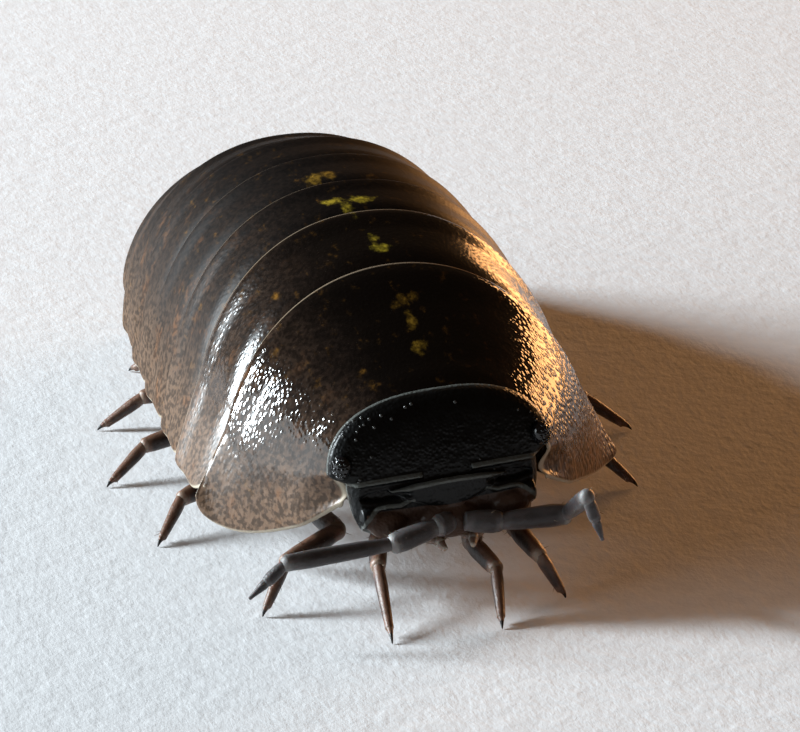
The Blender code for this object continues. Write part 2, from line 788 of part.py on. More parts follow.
def build_feeler(word, joints, thickness, tip):
    """One feeler: the jointed stalk as one node and the two-part lash as another."""
    points = [Vector(joint) * MM for joint in joints]
    radii = [radius * MM for radius in thickness]
    stalk = []
    for start, end, thin, thick in zip(points, points[1:], radii, radii[1:]):
        stalk.append(article(start, end, thin * LINK_NECK, thick))
    to_object(f"antenna_{word}", fuse("stalk", stalk, feeler), feeler)
    end, last = points[-1], Vector(tip) * MM
    start = end + (last - end).normalized() * (LIMB_GAP + radii[-1] * LINK_NECK)
    middle = end.lerp(last, LASH_JOINT)
    lash = [article(start, middle, *LASH_RADII[0]), article(middle, last, *LASH_RADII[1])]
    to_object(f"flagellum_{word}", fuse("lash", lash, feeler), feeler)


def build_pleopods():
    """The two rows of overlapping breathing plates under the tail."""
    for side, word in ((1, "left"), (-1, "right")):
        outer, inner = [], []
        for k in range(PLEOPOD_COUNT):
            start = PLEOPOD_Y + PLEOPOD_LENGTH * k
            end = start + PLEOPOD_LENGTH * PLEOPOD_RUN
            half = PLEOPOD_HALF * (1 - PLEOPOD_NARROWING * k)
            for front_y, drop in ((start, 0.0), (end, PLEOPOD_DROP)):
                lower, upper = [], []
                for i in range(PLEOPOD_COLUMNS):
                    u = i / (PLEOPOD_COLUMNS - 1)
                    x = side * (LIMB_GAP * 0.6 + half * u)
                    y = front_y + PLEOPOD_BOW * (1 - u * u)
                    z = PLEOPOD_TOP - PLEOPOD_THICK - drop * (1 - 0.5 * u * u)
                    lower.append(Vector((x, y, z)))
                    upper.append(Vector((x, y, PLEOPOD_TOP)))
                outer.append(lower)
                inner.append(upper)
        to_object(f"pleopods_{word}", slab(outer, inner), mouth_tan)


def build_leg(number, side, word, foot):
    """One leg: six links from the belly inward, out under the hem and down to the claw."""
    root_y = LEG_ROOT_Y[number - 1]
    root_x = LEG_ROOT_X[number - 1]
    root = Vector((side * root_x, root_y, BELLY_Z - LIMB_GAP - HIP_DROP))
    foot = Vector((foot[0] * MM, foot[1] * MM, FLAT_RADIUS * 0.45))
    inward = Vector((side * (root_x - KNEE_IN), root_y, KNEE_Z))
    if (word, number) in FRONT_JOINTS:
        knee, wrist, ankle = [Vector(joint) * MM for joint in FRONT_JOINTS[word, number]]
        inward.y += (knee.y - root_y) * HIP_SWING
    else:
        reach = Vector((foot.x - root.x, (foot.y - root.y) * FAN_OUT, 0.0)).normalized()
        ankle = foot - reach * ANKLE_RUN
        ankle.z = ANKLE_Z
        inward.y += (ankle.y - root_y) * HIP_SWING
        knee = inward.lerp(ankle, KNEE_SHARE) + Vector((0.0, 0.0, KNEE_LIFT))
        wrist = inward.lerp(ankle, WRIST_SHARE) - Vector((0.0, 0.0, WRIST_SINK))
    joints = [root, inward, knee, wrist, ankle, ankle.lerp(foot, CLAW_SHARE), foot]
    links = []
    for start, end, radii in zip(joints, joints[1:], LEG_RADII):
        links.append(article(start, end, *radii))
    to_object(f"leg_{word}_{number}", cut_flat(fuse("leg", links, limb)), limb)


def main():
    """Builds the whole animal."""
    tail_y = build_pleon(*build_pereon())
    build_tail(tail_y)
    build_pleopods()
    build_head()
    build_mouth()
    build_feeler("right", RIGHT_FEELER, FEELER_RADII, RIGHT_LASH_TIP)
    build_feeler("left", LEFT_FEELER, FEELER_RADII, LEFT_LASH_TIP)
    for side, word, feet in ((-1, "right", RIGHT_FEET), (1, "left", LEFT_FEET)):
        for number, foot in enumerate(feet, 1):
            build_leg(number, side, word, foot)
    bpy.data.collections.remove(workshop)


for old in list(bpy.data.objects):
    bpy.data.objects.remove(old, do_unlink=True)
animal = collection("woodlouse")
workshop = collection("workshop")
shell = finish("shell", SHELL_DARK, 0.3)
head_shell = finish("head_shell", HEAD_DARK, 0.4)
limb = finish("limb", LIMB_BROWN, 0.45)
feeler = finish("feeler", FEELER_GREY, 0.5)
eye_black = finish("eye", EYE_BLACK, 0.15)
mouth_tan = finish("mouth", MOUTH_TAN, 0.5)
main()
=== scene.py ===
"""The looks of a life-size pill woodlouse that stands on a sheet of white paper.

Its head points towards -Y and its back faces up. Shapes are made in millimetres and are scaled to
metres when they become objects.
"""

import logging
import math
from collections.abc import Callable, Sequence
from dataclasses import dataclass, field
from enum import Enum
from typing import Any

import bpy
import numpy as np
from mathutils import Matrix, Vector, noise


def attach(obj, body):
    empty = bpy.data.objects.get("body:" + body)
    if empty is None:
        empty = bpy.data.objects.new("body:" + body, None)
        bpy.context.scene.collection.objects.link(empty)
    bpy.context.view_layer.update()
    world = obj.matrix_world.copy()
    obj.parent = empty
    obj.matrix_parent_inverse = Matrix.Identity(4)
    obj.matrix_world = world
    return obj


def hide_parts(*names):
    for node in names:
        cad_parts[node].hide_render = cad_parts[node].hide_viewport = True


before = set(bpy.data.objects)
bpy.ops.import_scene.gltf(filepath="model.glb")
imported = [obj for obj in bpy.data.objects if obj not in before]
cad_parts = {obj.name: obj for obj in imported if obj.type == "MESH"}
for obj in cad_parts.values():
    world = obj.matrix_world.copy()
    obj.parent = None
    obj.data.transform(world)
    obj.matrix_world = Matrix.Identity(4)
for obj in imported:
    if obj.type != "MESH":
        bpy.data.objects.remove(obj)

MM = 0.001
BODY = "root"
IMAGE_WIDTH, SENSOR_WIDTH = 800, 36.0
NEAREST, FURTHEST = 0.001, 10.0
BRISTLE_TIP = 0.0008
UPRIGHT = 0.1

log = logging.getLogger("woodlouse")

Array = np.ndarray
Colour = tuple[float, float, float, float]
Triple = tuple[float, float, float]
Line = Callable[[Array], Array]
Plan = Callable[[Array, Array], tuple[Array, Array]]


def tone(red: float, green: float, blue: float) -> Colour:
    """An opaque colour in linear light."""
    return (red, green, blue, 1.0)


def ease(value: Array | float, low: float, high: float) -> Array:
    """A smooth step from 0 at low to 1 at high.

    Args:
        value: The numbers to map.
        low: Where the step starts.
        high: Where the step ends.

    Returns:
        The shares, each from 0 to 1.
    """
    share = np.clip((np.asarray(value, float) - low) / (high - low), 0.0, 1.0)
    return share * share * (3.0 - 2.0 * share)


def unit(vector: Sequence[float] | Array) -> Array:
    """The vector at length 1."""
    found = np.asarray(vector, float)
    return found / np.linalg.norm(found)


def bearing(azimuth: float, elevation: float) -> Vector:
    """The direction at angles in degrees; azimuth 0 is -Y and a positive one turns to +X."""
    a, e = math.radians(azimuth), math.radians(elevation)
    return Vector((math.sin(a) * math.cos(e), -math.cos(a) * math.cos(e), math.sin(e)))


def wrapped(first: Array, second: Array) -> Array:
    """Rings round two sheets of rows, joined by a point half way between them at either edge."""
    ends = (first[:, [0, -1]] + second[:, [0, -1]]) / 2
    return np.concatenate([ends[:, :1], first, ends[:, 1:], second[:, ::-1]], 1)


def bunched(count: int) -> Array:
    """Shares from 0 to 1 that lie closer together at both ends."""
    return (1 - np.cos(np.linspace(0.0, np.pi, count))) / 2


def tapered(count: int, run: float, least: float) -> Array:
    """Shares that rise from least at both ends to 1 over a run of places."""
    ends = np.minimum(np.arange(count), np.arange(count)[::-1]) / run
    return np.clip(ends, least, 1.0)


def circle(count: int) -> Array:
    """Turns in radians, evenly spaced round a circle."""
    return np.linspace(0.0, 2 * np.pi, count, endpoint=False)


def triples(first: Array, second: Array, third: Array) -> Array:
    """Three numbers for each place, as the last axis."""
    return np.stack([first, second, third], -1)


def added(name: str, data: bpy.types.ID) -> bpy.types.Object:
    """A new object in the scene."""
    made = bpy.data.objects.new(name, data)
    bpy.context.scene.collection.objects.link(made)
    return made


def write_values(mesh: bpy.types.Mesh, name: str, values: Array) -> None:
    """Stores three numbers on each point of a mesh."""
    layer = mesh.attributes.new(name, "FLOAT_VECTOR", "POINT")
    layer.data.foreach_set("vector", values.astype(np.float32).ravel())


class Side(Enum):
    """A side of the animal and the sign of its X."""

    RIGHT = -1
    LEFT = 1

    @property
    def word(self) -> str:
        """The side's word in the names of the nodes."""
        return self.name.lower()

    def of(self, left: Triple) -> Array:
        """A place or direction of the left side, carried over to this side."""
        return np.array([self.value * left[0], *left[1:]])


class Cap(Enum):
    """How the two ends of a lofted form are closed."""

    FAN = "a fan of triangles round a middle point"
    STRIP = "a strip of quads from one side of the ring to the other"


class Tree:
    """A node tree that is built through one node-making method."""

    def __init__(self, tree: bpy.types.NodeTree) -> None:
        """Wraps an empty node tree."""
        self.tree = tree

    def node(
        self,
        kind: str,
        inputs: dict[int | str, Any] | None = None,
        settings: dict[str, Any] | None = None,
        output: int | str = 0,
    ) -> "Value":
        """Makes one node.

        Args:
            kind: The node's type.
            inputs: A value or another node's output for each input, by place or name.
            settings: The node's own settings. "stops" holds a ramp's places and colours.
            output: The output that is used.

        Returns:
            The node's output.
        """
        made = self.tree.nodes.new(kind)
        for name, value in (settings or {}).items():
            if name == "stops":
                self._stops(made.color_ramp, value)
            else:
                setattr(made, name, value)
        for key, value in (inputs or {}).items():
            if isinstance(value, Value):
                self.tree.links.new(value.socket, made.inputs[key])
            else:
                made.inputs[key].default_value = value
        return Value(self, made.outputs[output] if made.outputs else None, made)

    @staticmethod
    def _stops(ramp: bpy.types.ColorRamp, stops: Sequence[tuple[float, Colour]]) -> None:
        """Gives a ramp its stops."""
        while len(ramp.elements) < len(stops):
            ramp.elements.new(1.0)
        for element, (place, colour) in zip(ramp.elements, stops):
            element.position = place
            element.color = colour

    def math(self, operation: str, *values: "Value | float") -> "Value":
        """One Math node on values or numbers."""
        return self.node("ShaderNodeMath", dict(enumerate(values)), {"operation": operation})


def math_method(operation: str, swapped: bool = False) -> Callable[..., "Value"]:
    """An arithmetic method of Value, which makes one Math node.

    Args:
        operation: The node's operation.
        swapped: Whether the value comes last, as the mask does in 1 - mask.

    Returns:
        The method.
    """

    def method(self: "Value", *others: "Value | float") -> "Value":
        """The node's output."""
        return self.tree.math(operation, *((*others, self) if swapped else (self, *others)))

    return method


class Value:
    """A node's output, which takes part in Python arithmetic as a number does."""

    def __init__(self, tree: Tree, socket: bpy.types.NodeSocket, node: bpy.types.Node) -> None:
        """Wraps an output socket of a node."""
        self.tree = tree
        self.socket = socket
        self.node = node

    def output(self, name: int | str) -> "Value":
        """Another output of the same node."""
        return Value(self.tree, self.node.outputs[name], self.node)

    __add__ = __radd__ = math_method("ADD")
    __sub__ = math_method("SUBTRACT")
    __rsub__ = math_method("SUBTRACT", True)
    __mul__ = __rmul__ = math_method("MULTIPLY")
    __abs__ = math_method("ABSOLUTE")

    def ease(self, low: float, high: float) -> "Value":
        """A smooth step from 0 at low to 1 at high, which may also fall."""
        settings = {"interpolation_type": "SMOOTHSTEP"}
        inputs = {0: self, 1: low, 2: high}
        if low > high:
            inputs = {0: self, 1: high, 2: low, 3: 1.0, 4: 0.0}
        return self.tree.node("ShaderNodeMapRange", inputs, settings)


class Paint(Tree):
    """The node tree of one material."""

    def __init__(self, name: str) -> None:
        """Starts an empty material."""
        self.material = bpy.data.materials.new(name)
        self.material.use_nodes = True
        super().__init__(self.material.node_tree)
        self.tree.nodes.clear()

    def place(self, stretch: Triple = (1.0, 1.0, 1.0)) -> Value:
        """The place on the piece in millimetres, stretched by a factor along each axis."""
        coordinates = self.node("ShaderNodeTexCoord", output="Object")
        scale = tuple(factor / MM for factor in stretch)
        return self.node("ShaderNodeMapping", {0: coordinates, 3: scale})

    def attribute(self, name: str) -> tuple[Value, Value, Value]:
        """The three numbers of a value that the mesh holds on its points."""
        found = self.node("ShaderNodeAttribute", settings={"attribute_name": name}, output="Vector")
        split = self.node("ShaderNodeSeparateXYZ", {0: found})
        return split, split.output(1), split.output(2)

    def noise(self, place: Value, scale: float, detail: float = 3.0, rough: float = 0.5) -> Value:
        """Cloudy noise from 0 to 1.

        Args:
            place: The place that it is read at.
            scale: How many clouds lie in a millimetre.
            detail: How many finer layers it has.
            rough: How strong the finer layers are.

        Returns:
            The noise.
        """
        inputs = {"Vector": place, "Scale": scale, "Detail": detail, "Roughness": rough}
        return self.node("ShaderNodeTexNoise", inputs)

    def cells(self, place: Value, scale: float) -> Value:
        """Round grains: 1 in the middle of each grain, falling towards its edge."""
        inputs = {"Vector": place, "Scale": scale}
        return 1 - self.node("ShaderNodeTexVoronoi", inputs, output="Distance")

    def mix(self, share: Value | float, first: Value | Colour, second: Value | Colour) -> Value:
        """A colour between two colours."""
        inputs = {0: share, 6: first, 7: second}
        return self.node("ShaderNodeMix", inputs, {"data_type": "RGBA"}, output=2)

    def ramp(self, share: Value, stops: Sequence[tuple[float, Colour]]) -> Value:
        """A colour from a ramp."""
        return self.node("ShaderNodeValToRGB", {0: share}, {"stops": stops})

    def bump(self, height: Value, depth: float, after: Value | None = None) -> Value:
        """Relief whose full height is depth, in millimetres, over other relief if any."""
        inputs: dict[int | str, Any] = {"Height": height, "Distance": depth * MM, "Strength": 1.0}
        if after:
            inputs["Normal"] = after
        return self.node("ShaderNodeBump", inputs)

    def surface(self, colour: Value, rough: Value | float, **others: Value | float) -> bpy.types.Material:
        """Ends the tree in a Principled shader.

        Args:
            colour: Its base colour.
            rough: Its roughness.
            others: Values for its other sockets, by their names with underscores for spaces.

        Returns:
            The finished material.
        """
        named = {name.replace("_", " "): value for name, value in others.items()}
        inputs = {"Base Color": colour, "Roughness": rough, **named}
        shader = self.node("ShaderNodeBsdfPrincipled", inputs)
        self.node("ShaderNodeOutputMaterial", {0: shader})
        return self.material


@dataclass(frozen=True)
class ShellFinish:
    """Glossy horn of the back: near black above, brown and marbled on the flanks, pale rims."""

    name: str = "shell_horn"
    gloss: float = 0.32
    black: Colour = tone(0.0022, 0.0018, 0.0017)
    umber: Colour = tone(0.0095, 0.0062, 0.0048)
    brown: Colour = tone(0.032, 0.020, 0.014)
    tan: Colour = tone(0.074, 0.045, 0.030)
    hem: Colour = tone(0.185, 0.116, 0.076)
    orange: Colour = tone(0.170, 0.072, 0.028)
    ochre: Colour = tone(0.170, 0.078, 0.012)
    yellow: Colour = tone(0.460, 0.350, 0.030)
    rim: Colour = tone(0.300, 0.225, 0.155)
    cream: Colour = tone(0.500, 0.430, 0.330)
    rear_rim: float = 0.044
    hem_rim: float = 0.070
    grain_depth: float = 0.0028

    def material(self) -> bpy.types.Material:
        """The shell's material."""
        paint = Paint(self.name)
        place = paint.place()
        across, rear, hem = paint.attribute("place")
        mark, tint, dull = paint.attribute("mark")
        clouds = paint.noise(place, 0.9, 4.0, 0.6)
        flecks = paint.noise(place, 4.5, 5.0, 0.65)
        flank = abs(across) + dull * 0.06 + (clouds - 0.5) * 0.35 + (flecks - 0.5) * 0.25
        stops = (
            (0.0, self.black), (0.12, self.umber), (0.42, self.brown), (0.74, self.tan), (1.0, self.hem)
        )
        colour = paint.ramp(flank.ease(0.12, 1.04), stops)
        shaded = dull * (0.30 + abs(across).ease(0.95, 0.62) * 0.38)
        colour = paint.mix(shaded, colour, self.umber)
        marble = paint.noise(paint.place((1.0, 1.0, 0.6)), 2.6, 4.0, 0.6).ease(0.53, 0.70)
        colour = paint.mix(marble * abs(across).ease(0.20, 0.85) * 0.6, colour, self.orange)
        streak = paint.noise(paint.place((1.0, 0.4, 1.0)), 6.0, 4.0, 0.6)
        spot = (mark + (flecks - 0.5) * 2.0 + (streak - 0.5) * 2.0).ease(0.20, 1.15)
        colour = paint.mix(spot * 0.9, colour, paint.mix(tint, self.ochre, self.yellow))
        speck = paint.noise(place, 11.0, 3.0).ease(0.60, 0.40)
        colour = paint.mix(speck * 0.62, colour, self.black)
        lip = rear.ease(self.rear_rim * 1.4, self.rear_rim * 0.6)
        colour = paint.mix(lip * (0.8 - dull * 0.42), colour, self.rim)
        edge = hem.ease(self.hem_rim * 1.3, self.hem_rim * 0.6)
        colour = paint.mix(edge * 0.9, colour, self.cream)
        grain = paint.cells(paint.place((1.0, 1.0, 0.45)), 15.0).ease(0.35, 0.95)
        calm = (1 - dull * 0.6) * (1 + across.ease(0.30, 0.60) * 2.6)
        relief = paint.bump(grain * (1 - edge) * calm, self.grain_depth)
        relief = paint.bump(paint.noise(place, 3.5, 3.0), self.grain_depth * 1.6, relief)
        rough = 0.07 + flecks * 0.05 + dull * 0.42 + edge * 0.15 + abs(across).ease(0.70, 0.90) * 0.20
        return paint.surface(colour, rough, Normal=relief, Specular_IOR_Level=self.gloss)


@dataclass(frozen=True)
class BellyFinish:
    """Pale satin skin of the underside."""

    pale: Colour = tone(0.330, 0.270, 0.220)
    dusky: Colour = tone(0.170, 0.125, 0.100)

    def material(self) -> bpy.types.Material:
        """The belly's material."""
        paint = Paint("belly_skin")
        place = paint.place()
        clouds = paint.noise(place, 1.6, 4.0, 0.6)
        colour = paint.mix(clouds.ease(0.35, 0.7), self.pale, self.dusky)
        relief = paint.bump(paint.noise(place, 6.0, 4.0), 0.02)
        rough = 0.42 + clouds * 0.2
        return paint.surface(colour, rough, Normal=relief)


@dataclass(frozen=True)
class HeadFinish:
    """Satin black horn of the head, grey along its rim and ridges, brown below the feelers; the grey on the
    ridges is partly a painted highlight.
    """

    black: Colour = tone(0.0022, 0.0024, 0.0024)
    slate: Colour = tone(0.0050, 0.0054, 0.0058)
    grey: Colour = tone(0.125, 0.132, 0.122)
    brown: Colour = tone(0.060, 0.034, 0.024)
    gloss: float = 0.20
    grain_depth: float = 0.005

    def material(self) -> bpy.types.Material:
        """The head's material."""
        paint = Paint("head_horn")
        place = paint.place()
        rim, ridge, under = paint.attribute("tone")
        clouds = paint.noise(place, 2.2, 5.0, 0.65)
        colour = paint.mix(clouds.ease(0.45, 0.75), self.black, self.slate)
        colour = paint.mix((under + (clouds - 0.5) * 0.6).ease(0.3, 0.7), colour, self.brown)
        # Grey along the ridges: partly their own paler edges, partly a painted highlight where the ridges
        # catch the light.
        colour = paint.mix((ridge * (0.5 + clouds * 1.0)).ease(0.2, 1.0) * 0.75, colour, self.grey)
        colour = paint.mix(rim.ease(0.3, 0.9) * (0.5 + clouds * 0.6), colour, self.grey)
        relief = paint.bump(paint.cells(place, 17.0).ease(0.3, 0.95), self.grain_depth)
        relief = paint.bump(paint.noise(place, 4.0, 2.0), self.grain_depth, relief)
        rough = 0.24 + clouds * 0.14
        return paint.surface(colour, rough, Normal=relief, Specular_IOR_Level=self.gloss)


@dataclass(frozen=True)
class LimbFinish:
    """Satin horn of a limb: light, with deep patches that include a painted dark core along its sides, and
    pale at the joints.
    """

    name: str
    light: Colour
    deep: Colour
    pale: Colour
    roughness: float = 0.34
    claw: Colour = tone(0.008, 0.006, 0.005)
    glow: float = 0.25
    glow_depth: float = 0.12

    def material(self) -> bpy.types.Material:
        """The limb's material."""
        paint = Paint(self.name)
        place = paint.place()
        deep, pale, claw = paint.attribute("band")
        clouds = paint.noise(place, 5.0, 4.0, 0.6)
        # The deep share holds the darker middles of the articles and a painted dark core along their sides,
        # with lit top and bottom edges.
        colour = paint.mix((deep + (clouds - 0.5) * 0.7).ease(0.15, 0.85), self.light, self.deep)
        colour = paint.mix((pale + (clouds - 0.5) * 0.4).ease(0.25, 0.75), colour, self.pale)
        colour = paint.mix(claw.ease(0.2, 0.7), colour, self.claw)
        relief = paint.bump(paint.noise(place, 14.0, 4.0, 0.6), 0.014)
        rough = self.roughness + clouds * 0.15
        glow = {"Subsurface_Weight": self.glow, "Subsurface_Scale": self.glow_depth * MM}
        return paint.surface(colour, rough, Normal=relief, **glow)


@dataclass(frozen=True)
class GlossFinish:
    """One plain glossy colour, broken by faint clouds, for lenses, grains and bristles."""

    name: str
    colour: Colour
    roughness: float
    shade: float = 0.6

    def material(self) -> bpy.types.Material:
        """The material."""
        paint = Paint(self.name)
        clouds = paint.noise(paint.place(), 9.0, 2.0)
        darker = tone(*(part * self.shade for part in self.colour[:3]))
        return paint.surface(paint.mix(clouds, self.colour, darker), self.roughness + clouds * 0.06)


@dataclass(frozen=True)
class PaperFinish:
    """White drawing paper with a felted, slightly bumpy face."""

    white: Colour = tone(0.80, 0.80, 0.81)
    dull: Colour = tone(0.765, 0.762, 0.770)
    felt_depth: float = 0.020
    fibre_depth: float = 0.010
    roughness: float = 0.85

    def material(self) -> bpy.types.Material:
        """The paper's material."""
        paint = Paint("paper")
        place = paint.place()
        felt = paint.noise(place, 2.4, 5.0, 0.58)
        fibre = paint.noise(paint.place((1.0, 0.45, 1.0)), 9.0, 4.0, 0.6)
        colour = paint.mix(felt.ease(0.60, 0.36), self.white, self.dull)
        relief = paint.bump(fibre, self.fibre_depth, paint.bump(felt, self.felt_depth))
        return paint.surface(colour, self.roughness, Normal=relief)


class Wardrobe:
    """The finishes of the animal, each made once."""

    def __init__(self) -> None:
        """Makes every material."""
        self.shell = ShellFinish().material()
        self.rear_shell = ShellFinish("rear_horn", 0.10).material()
        self.tail_shell = ShellFinish("tail_horn", 0.10, hem_rim=0.022, rear_rim=0.012).material()
        self.belly = BellyFinish().material()
        self.head = HeadFinish().material()
        brown, umber = tone(0.150, 0.078, 0.050), tone(0.020, 0.008, 0.005)
        self.limb = LimbFinish("limb_horn", brown, umber, tone(0.30, 0.215, 0.160)).material()
        mauve, dusk = tone(0.088, 0.078, 0.078), tone(0.022, 0.016, 0.016)
        self.feeler = LimbFinish("feeler_horn", mauve, dusk, tone(0.27, 0.26, 0.25), 0.4).material()
        tan, rust = tone(0.240, 0.170, 0.130), tone(0.070, 0.038, 0.026)
        self.mouth = LimbFinish("mouth_horn", tan, rust, tone(0.40, 0.34, 0.28)).material()
        self.eye = GlossFinish("eye_lens", tone(0.006, 0.006, 0.007), 0.07).material()
        self.bead = GlossFinish("shell_bead", tone(0.040, 0.040, 0.038), 0.14).material()
        self.bristle = GlossFinish("bristle", tone(0.280, 0.200, 0.130), 0.4).material()


class Form:
    """A mesh in the making: closed lofts in millimetres, with values on their points."""

    def __init__(self, name: str) -> None:
        """Starts an empty form."""
        self.name = name
        self.points: list[Array] = []
        self.faces: list[list[int]] = []
        self.slots: list[int] = []
        self.values: dict[str, list[Array]] = {}
        self.count = 0

    def loft(
        self,
        rings: Array,
        cap: Cap = Cap.FAN,
        values: dict[str, Array] | None = None,
        slots: Array | None = None,
    ) -> None:
        """Adds a closed body through rings of points.

        Args:
            rings: Points of shape (rings, points in a ring, 3).
            cap: How its ends are closed.
            values: Three numbers for each point, of the same shape as rings, by name.
            slots: The material slot of the faces that start at each point of a ring.
        """
        count, around = rings.shape[:2]
        index = self.count + np.arange(count * around).reshape(count, around)
        following = np.roll(index, -1, axis=1)
        quads = np.stack([index[:-1], following[:-1], following[1:], index[1:]], -1).reshape(-1, 4)
        points = rings.reshape(-1, 3)
        extra = {name: value.reshape(-1, 3) for name, value in (values or {}).items()}
        faces = quads.tolist()
        marks = [0] * len(faces) if slots is None else np.tile(slots, count - 1).tolist()
        for ring, turn in ((index[0], -1), (index[-1], 1)):
            if cap is Cap.FAN:
                middle = self.count + len(points)
                points = np.vstack([points, points[ring - self.count].mean(0)])
                for name, value in extra.items():
                    extra[name] = np.vstack([value, value[ring - self.count].mean(0)])
                ends = [[int(a), int(b), middle] for a, b in zip(ring, np.roll(ring, -1))]
            else:
                half = around // 2
                ends = [[ring[0], ring[1], ring[-1]], [ring[half - 1], ring[half], ring[half + 1]]]
                ends += [[ring[k], ring[k + 1], ring[-k - 1], ring[-k]] for k in range(1, half - 1)]
                ends = [[int(i) for i in face] for face in ends]
            faces += [face[::turn] for face in ends]
            marks += [0] * len(ends)
        self.add(points, self._outwards(points, faces), marks, extra)

    def _outwards(self, points: Array, faces: list[list[int]]) -> list[list[int]]:
        """The faces, all turned round if their signed volume says that they point inwards."""
        volume = 0.0
        centred = points - points.mean(0)
        for corner in (1, 2):
            fans = [[f[0], f[corner], f[corner + 1]] for f in faces if len(f) > corner + 1]
            a, b, c = (centred[np.array(fans).T - self.count]) if fans else (np.zeros((0, 3)),) * 3
            volume += float((a * np.cross(b, c)).sum())
        return [face[::-1] for face in faces] if volume < 0 else faces

    def add(
        self, points: Array, faces: list[list[int]], slots: list[int], values: dict[str, Array]
    ) -> None:
        """Adds points, faces and values that are ready."""
        for name, value in values.items():
            self.values.setdefault(name, []).append(value)
        self.points.append(points)
        self.faces += faces
        self.slots += slots
        self.count += len(points)

    def to_object(self, materials: Sequence[bpy.types.Material], scale: float = MM) -> bpy.types.Object:
        """Makes the object.

        Args:
            materials: The materials of its slots.
            scale: The size of a millimetre in it.

        Returns:
            The object, at the origin, with its place in its mesh.
        """
        mesh = bpy.data.meshes.new(self.name)
        mesh.from_pydata(np.vstack(self.points) * scale, [], self.faces)
        for name, parts in self.values.items():
            write_values(mesh, name, np.vstack(parts))
        for material in materials:
            mesh.materials.append(material)
        mesh.polygons.foreach_set("material_index", self.slots)
        mesh.update()
        mesh.shade_smooth()
        return added(self.name, mesh)


def settle(piece: bpy.types.Object, slot: str, *nodes: str) -> None:
    """Makes a finished object a piece of the animal.

    Args:
        piece: The object.
        slot: The record's material slot, which is only written to the log.
        nodes: The nodes that it stands for.
    """
    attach(piece, BODY)
    if nodes:
        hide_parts(*nodes)
    log.info("%s: %d faces, slot %s", piece.name, len(piece.data.polygons), slot)


def evaluated(source: bpy.types.Object, name: str, scale: float = MM) -> bpy.types.Object:
    """Turns an object with modifiers into a plain one and removes the first.

    Args:
        source: The object in millimetres with its modifiers.
        name: The new object's name.
        scale: The factor on its size.

    Returns:
        The new object.
    """
    bpy.context.view_layer.update()
    graph = bpy.context.evaluated_depsgraph_get()
    mesh = bpy.data.meshes.new_from_object(source.evaluated_get(graph))
    source.modifiers.clear()
    bpy.data.objects.remove(source, do_unlink=True)
    mesh.name = name
    mesh.transform(Matrix.Scale(scale, 4))
    mesh.shade_smooth()
    return added(name, mesh)


@dataclass(frozen=True)
class Outline:
    """The smooth outline of the back, on which every plate lies."""

    crest_y: float = 0.35
    crest_z: float = 4.83
    front_fall: float = 1.98
    front_run: float = 6.45
    rear_fall: float = 4.02
    rear_run: float = 7.75
    fall_power: float = 2.48
    widest_y: float = -0.15
    half: float = 3.22
    plan_front: float = 8.55
    plan_rear: float = 8.35
    plan_power: float = 2.6
    across_power: float = 0.92
    down_power: float = 0.95

    def crest(self, y: Array) -> Array:
        """Height of the back along the midline."""
        run = np.where(y < self.crest_y, self.front_run, self.rear_run)
        fall = np.where(y < self.crest_y, self.front_fall, self.rear_fall)
        return self.crest_z - fall * (np.abs(y - self.crest_y) / run) ** self.fall_power

    def half_width(self, y: Array) -> Array:
        """Half the width of the back in plan."""
        run = np.where(y < self.widest_y, self.plan_front, self.plan_rear)
        share = np.minimum(np.abs(y - self.widest_y) / run, 0.995)
        return self.half * (1 - share**self.plan_power) ** (1 / self.plan_power)

    def arch(self, t: Array) -> tuple[Array, Array]:
        """Across and down shares of the arch at t, from -1 at the right hem to 1 at the left."""
        turn = np.abs(t) * np.pi / 2
        down = 1 - np.maximum(np.cos(turn), 0.0) ** self.down_power
        return np.copysign(np.sin(turn) ** self.across_power, t), down

    def height(self, x: Array, y: Array, hem: float) -> Array:
        """Height of the outline over a place in plan."""
        across = np.minimum(np.abs(x) / self.half_width(y), 1.0) ** (1 / self.across_power)
        down = 1 - np.sqrt(np.maximum(1 - across**2, 0.0)) ** self.down_power
        return self.crest(y) - (self.crest(y) - hem) * down


@dataclass(frozen=True)
class RearEdge:
    """The rear edge of a ring.

    length is how far it lies behind the one before along the midline, sweep how far it is drawn
    back at the hems, by a power, flare how far its hem stands out, and hem its hem's height.
    """

    length: float
    sweep: float
    power: float
    flare: float
    hem: float


@dataclass(frozen=True)
class Spot:
    """A yellow mark on the back: its place and half sizes in plan, and 0 for ochre to 1 for yellow."""

    x: float
    y: float
    half_x: float
    half_y: float
    tint: float


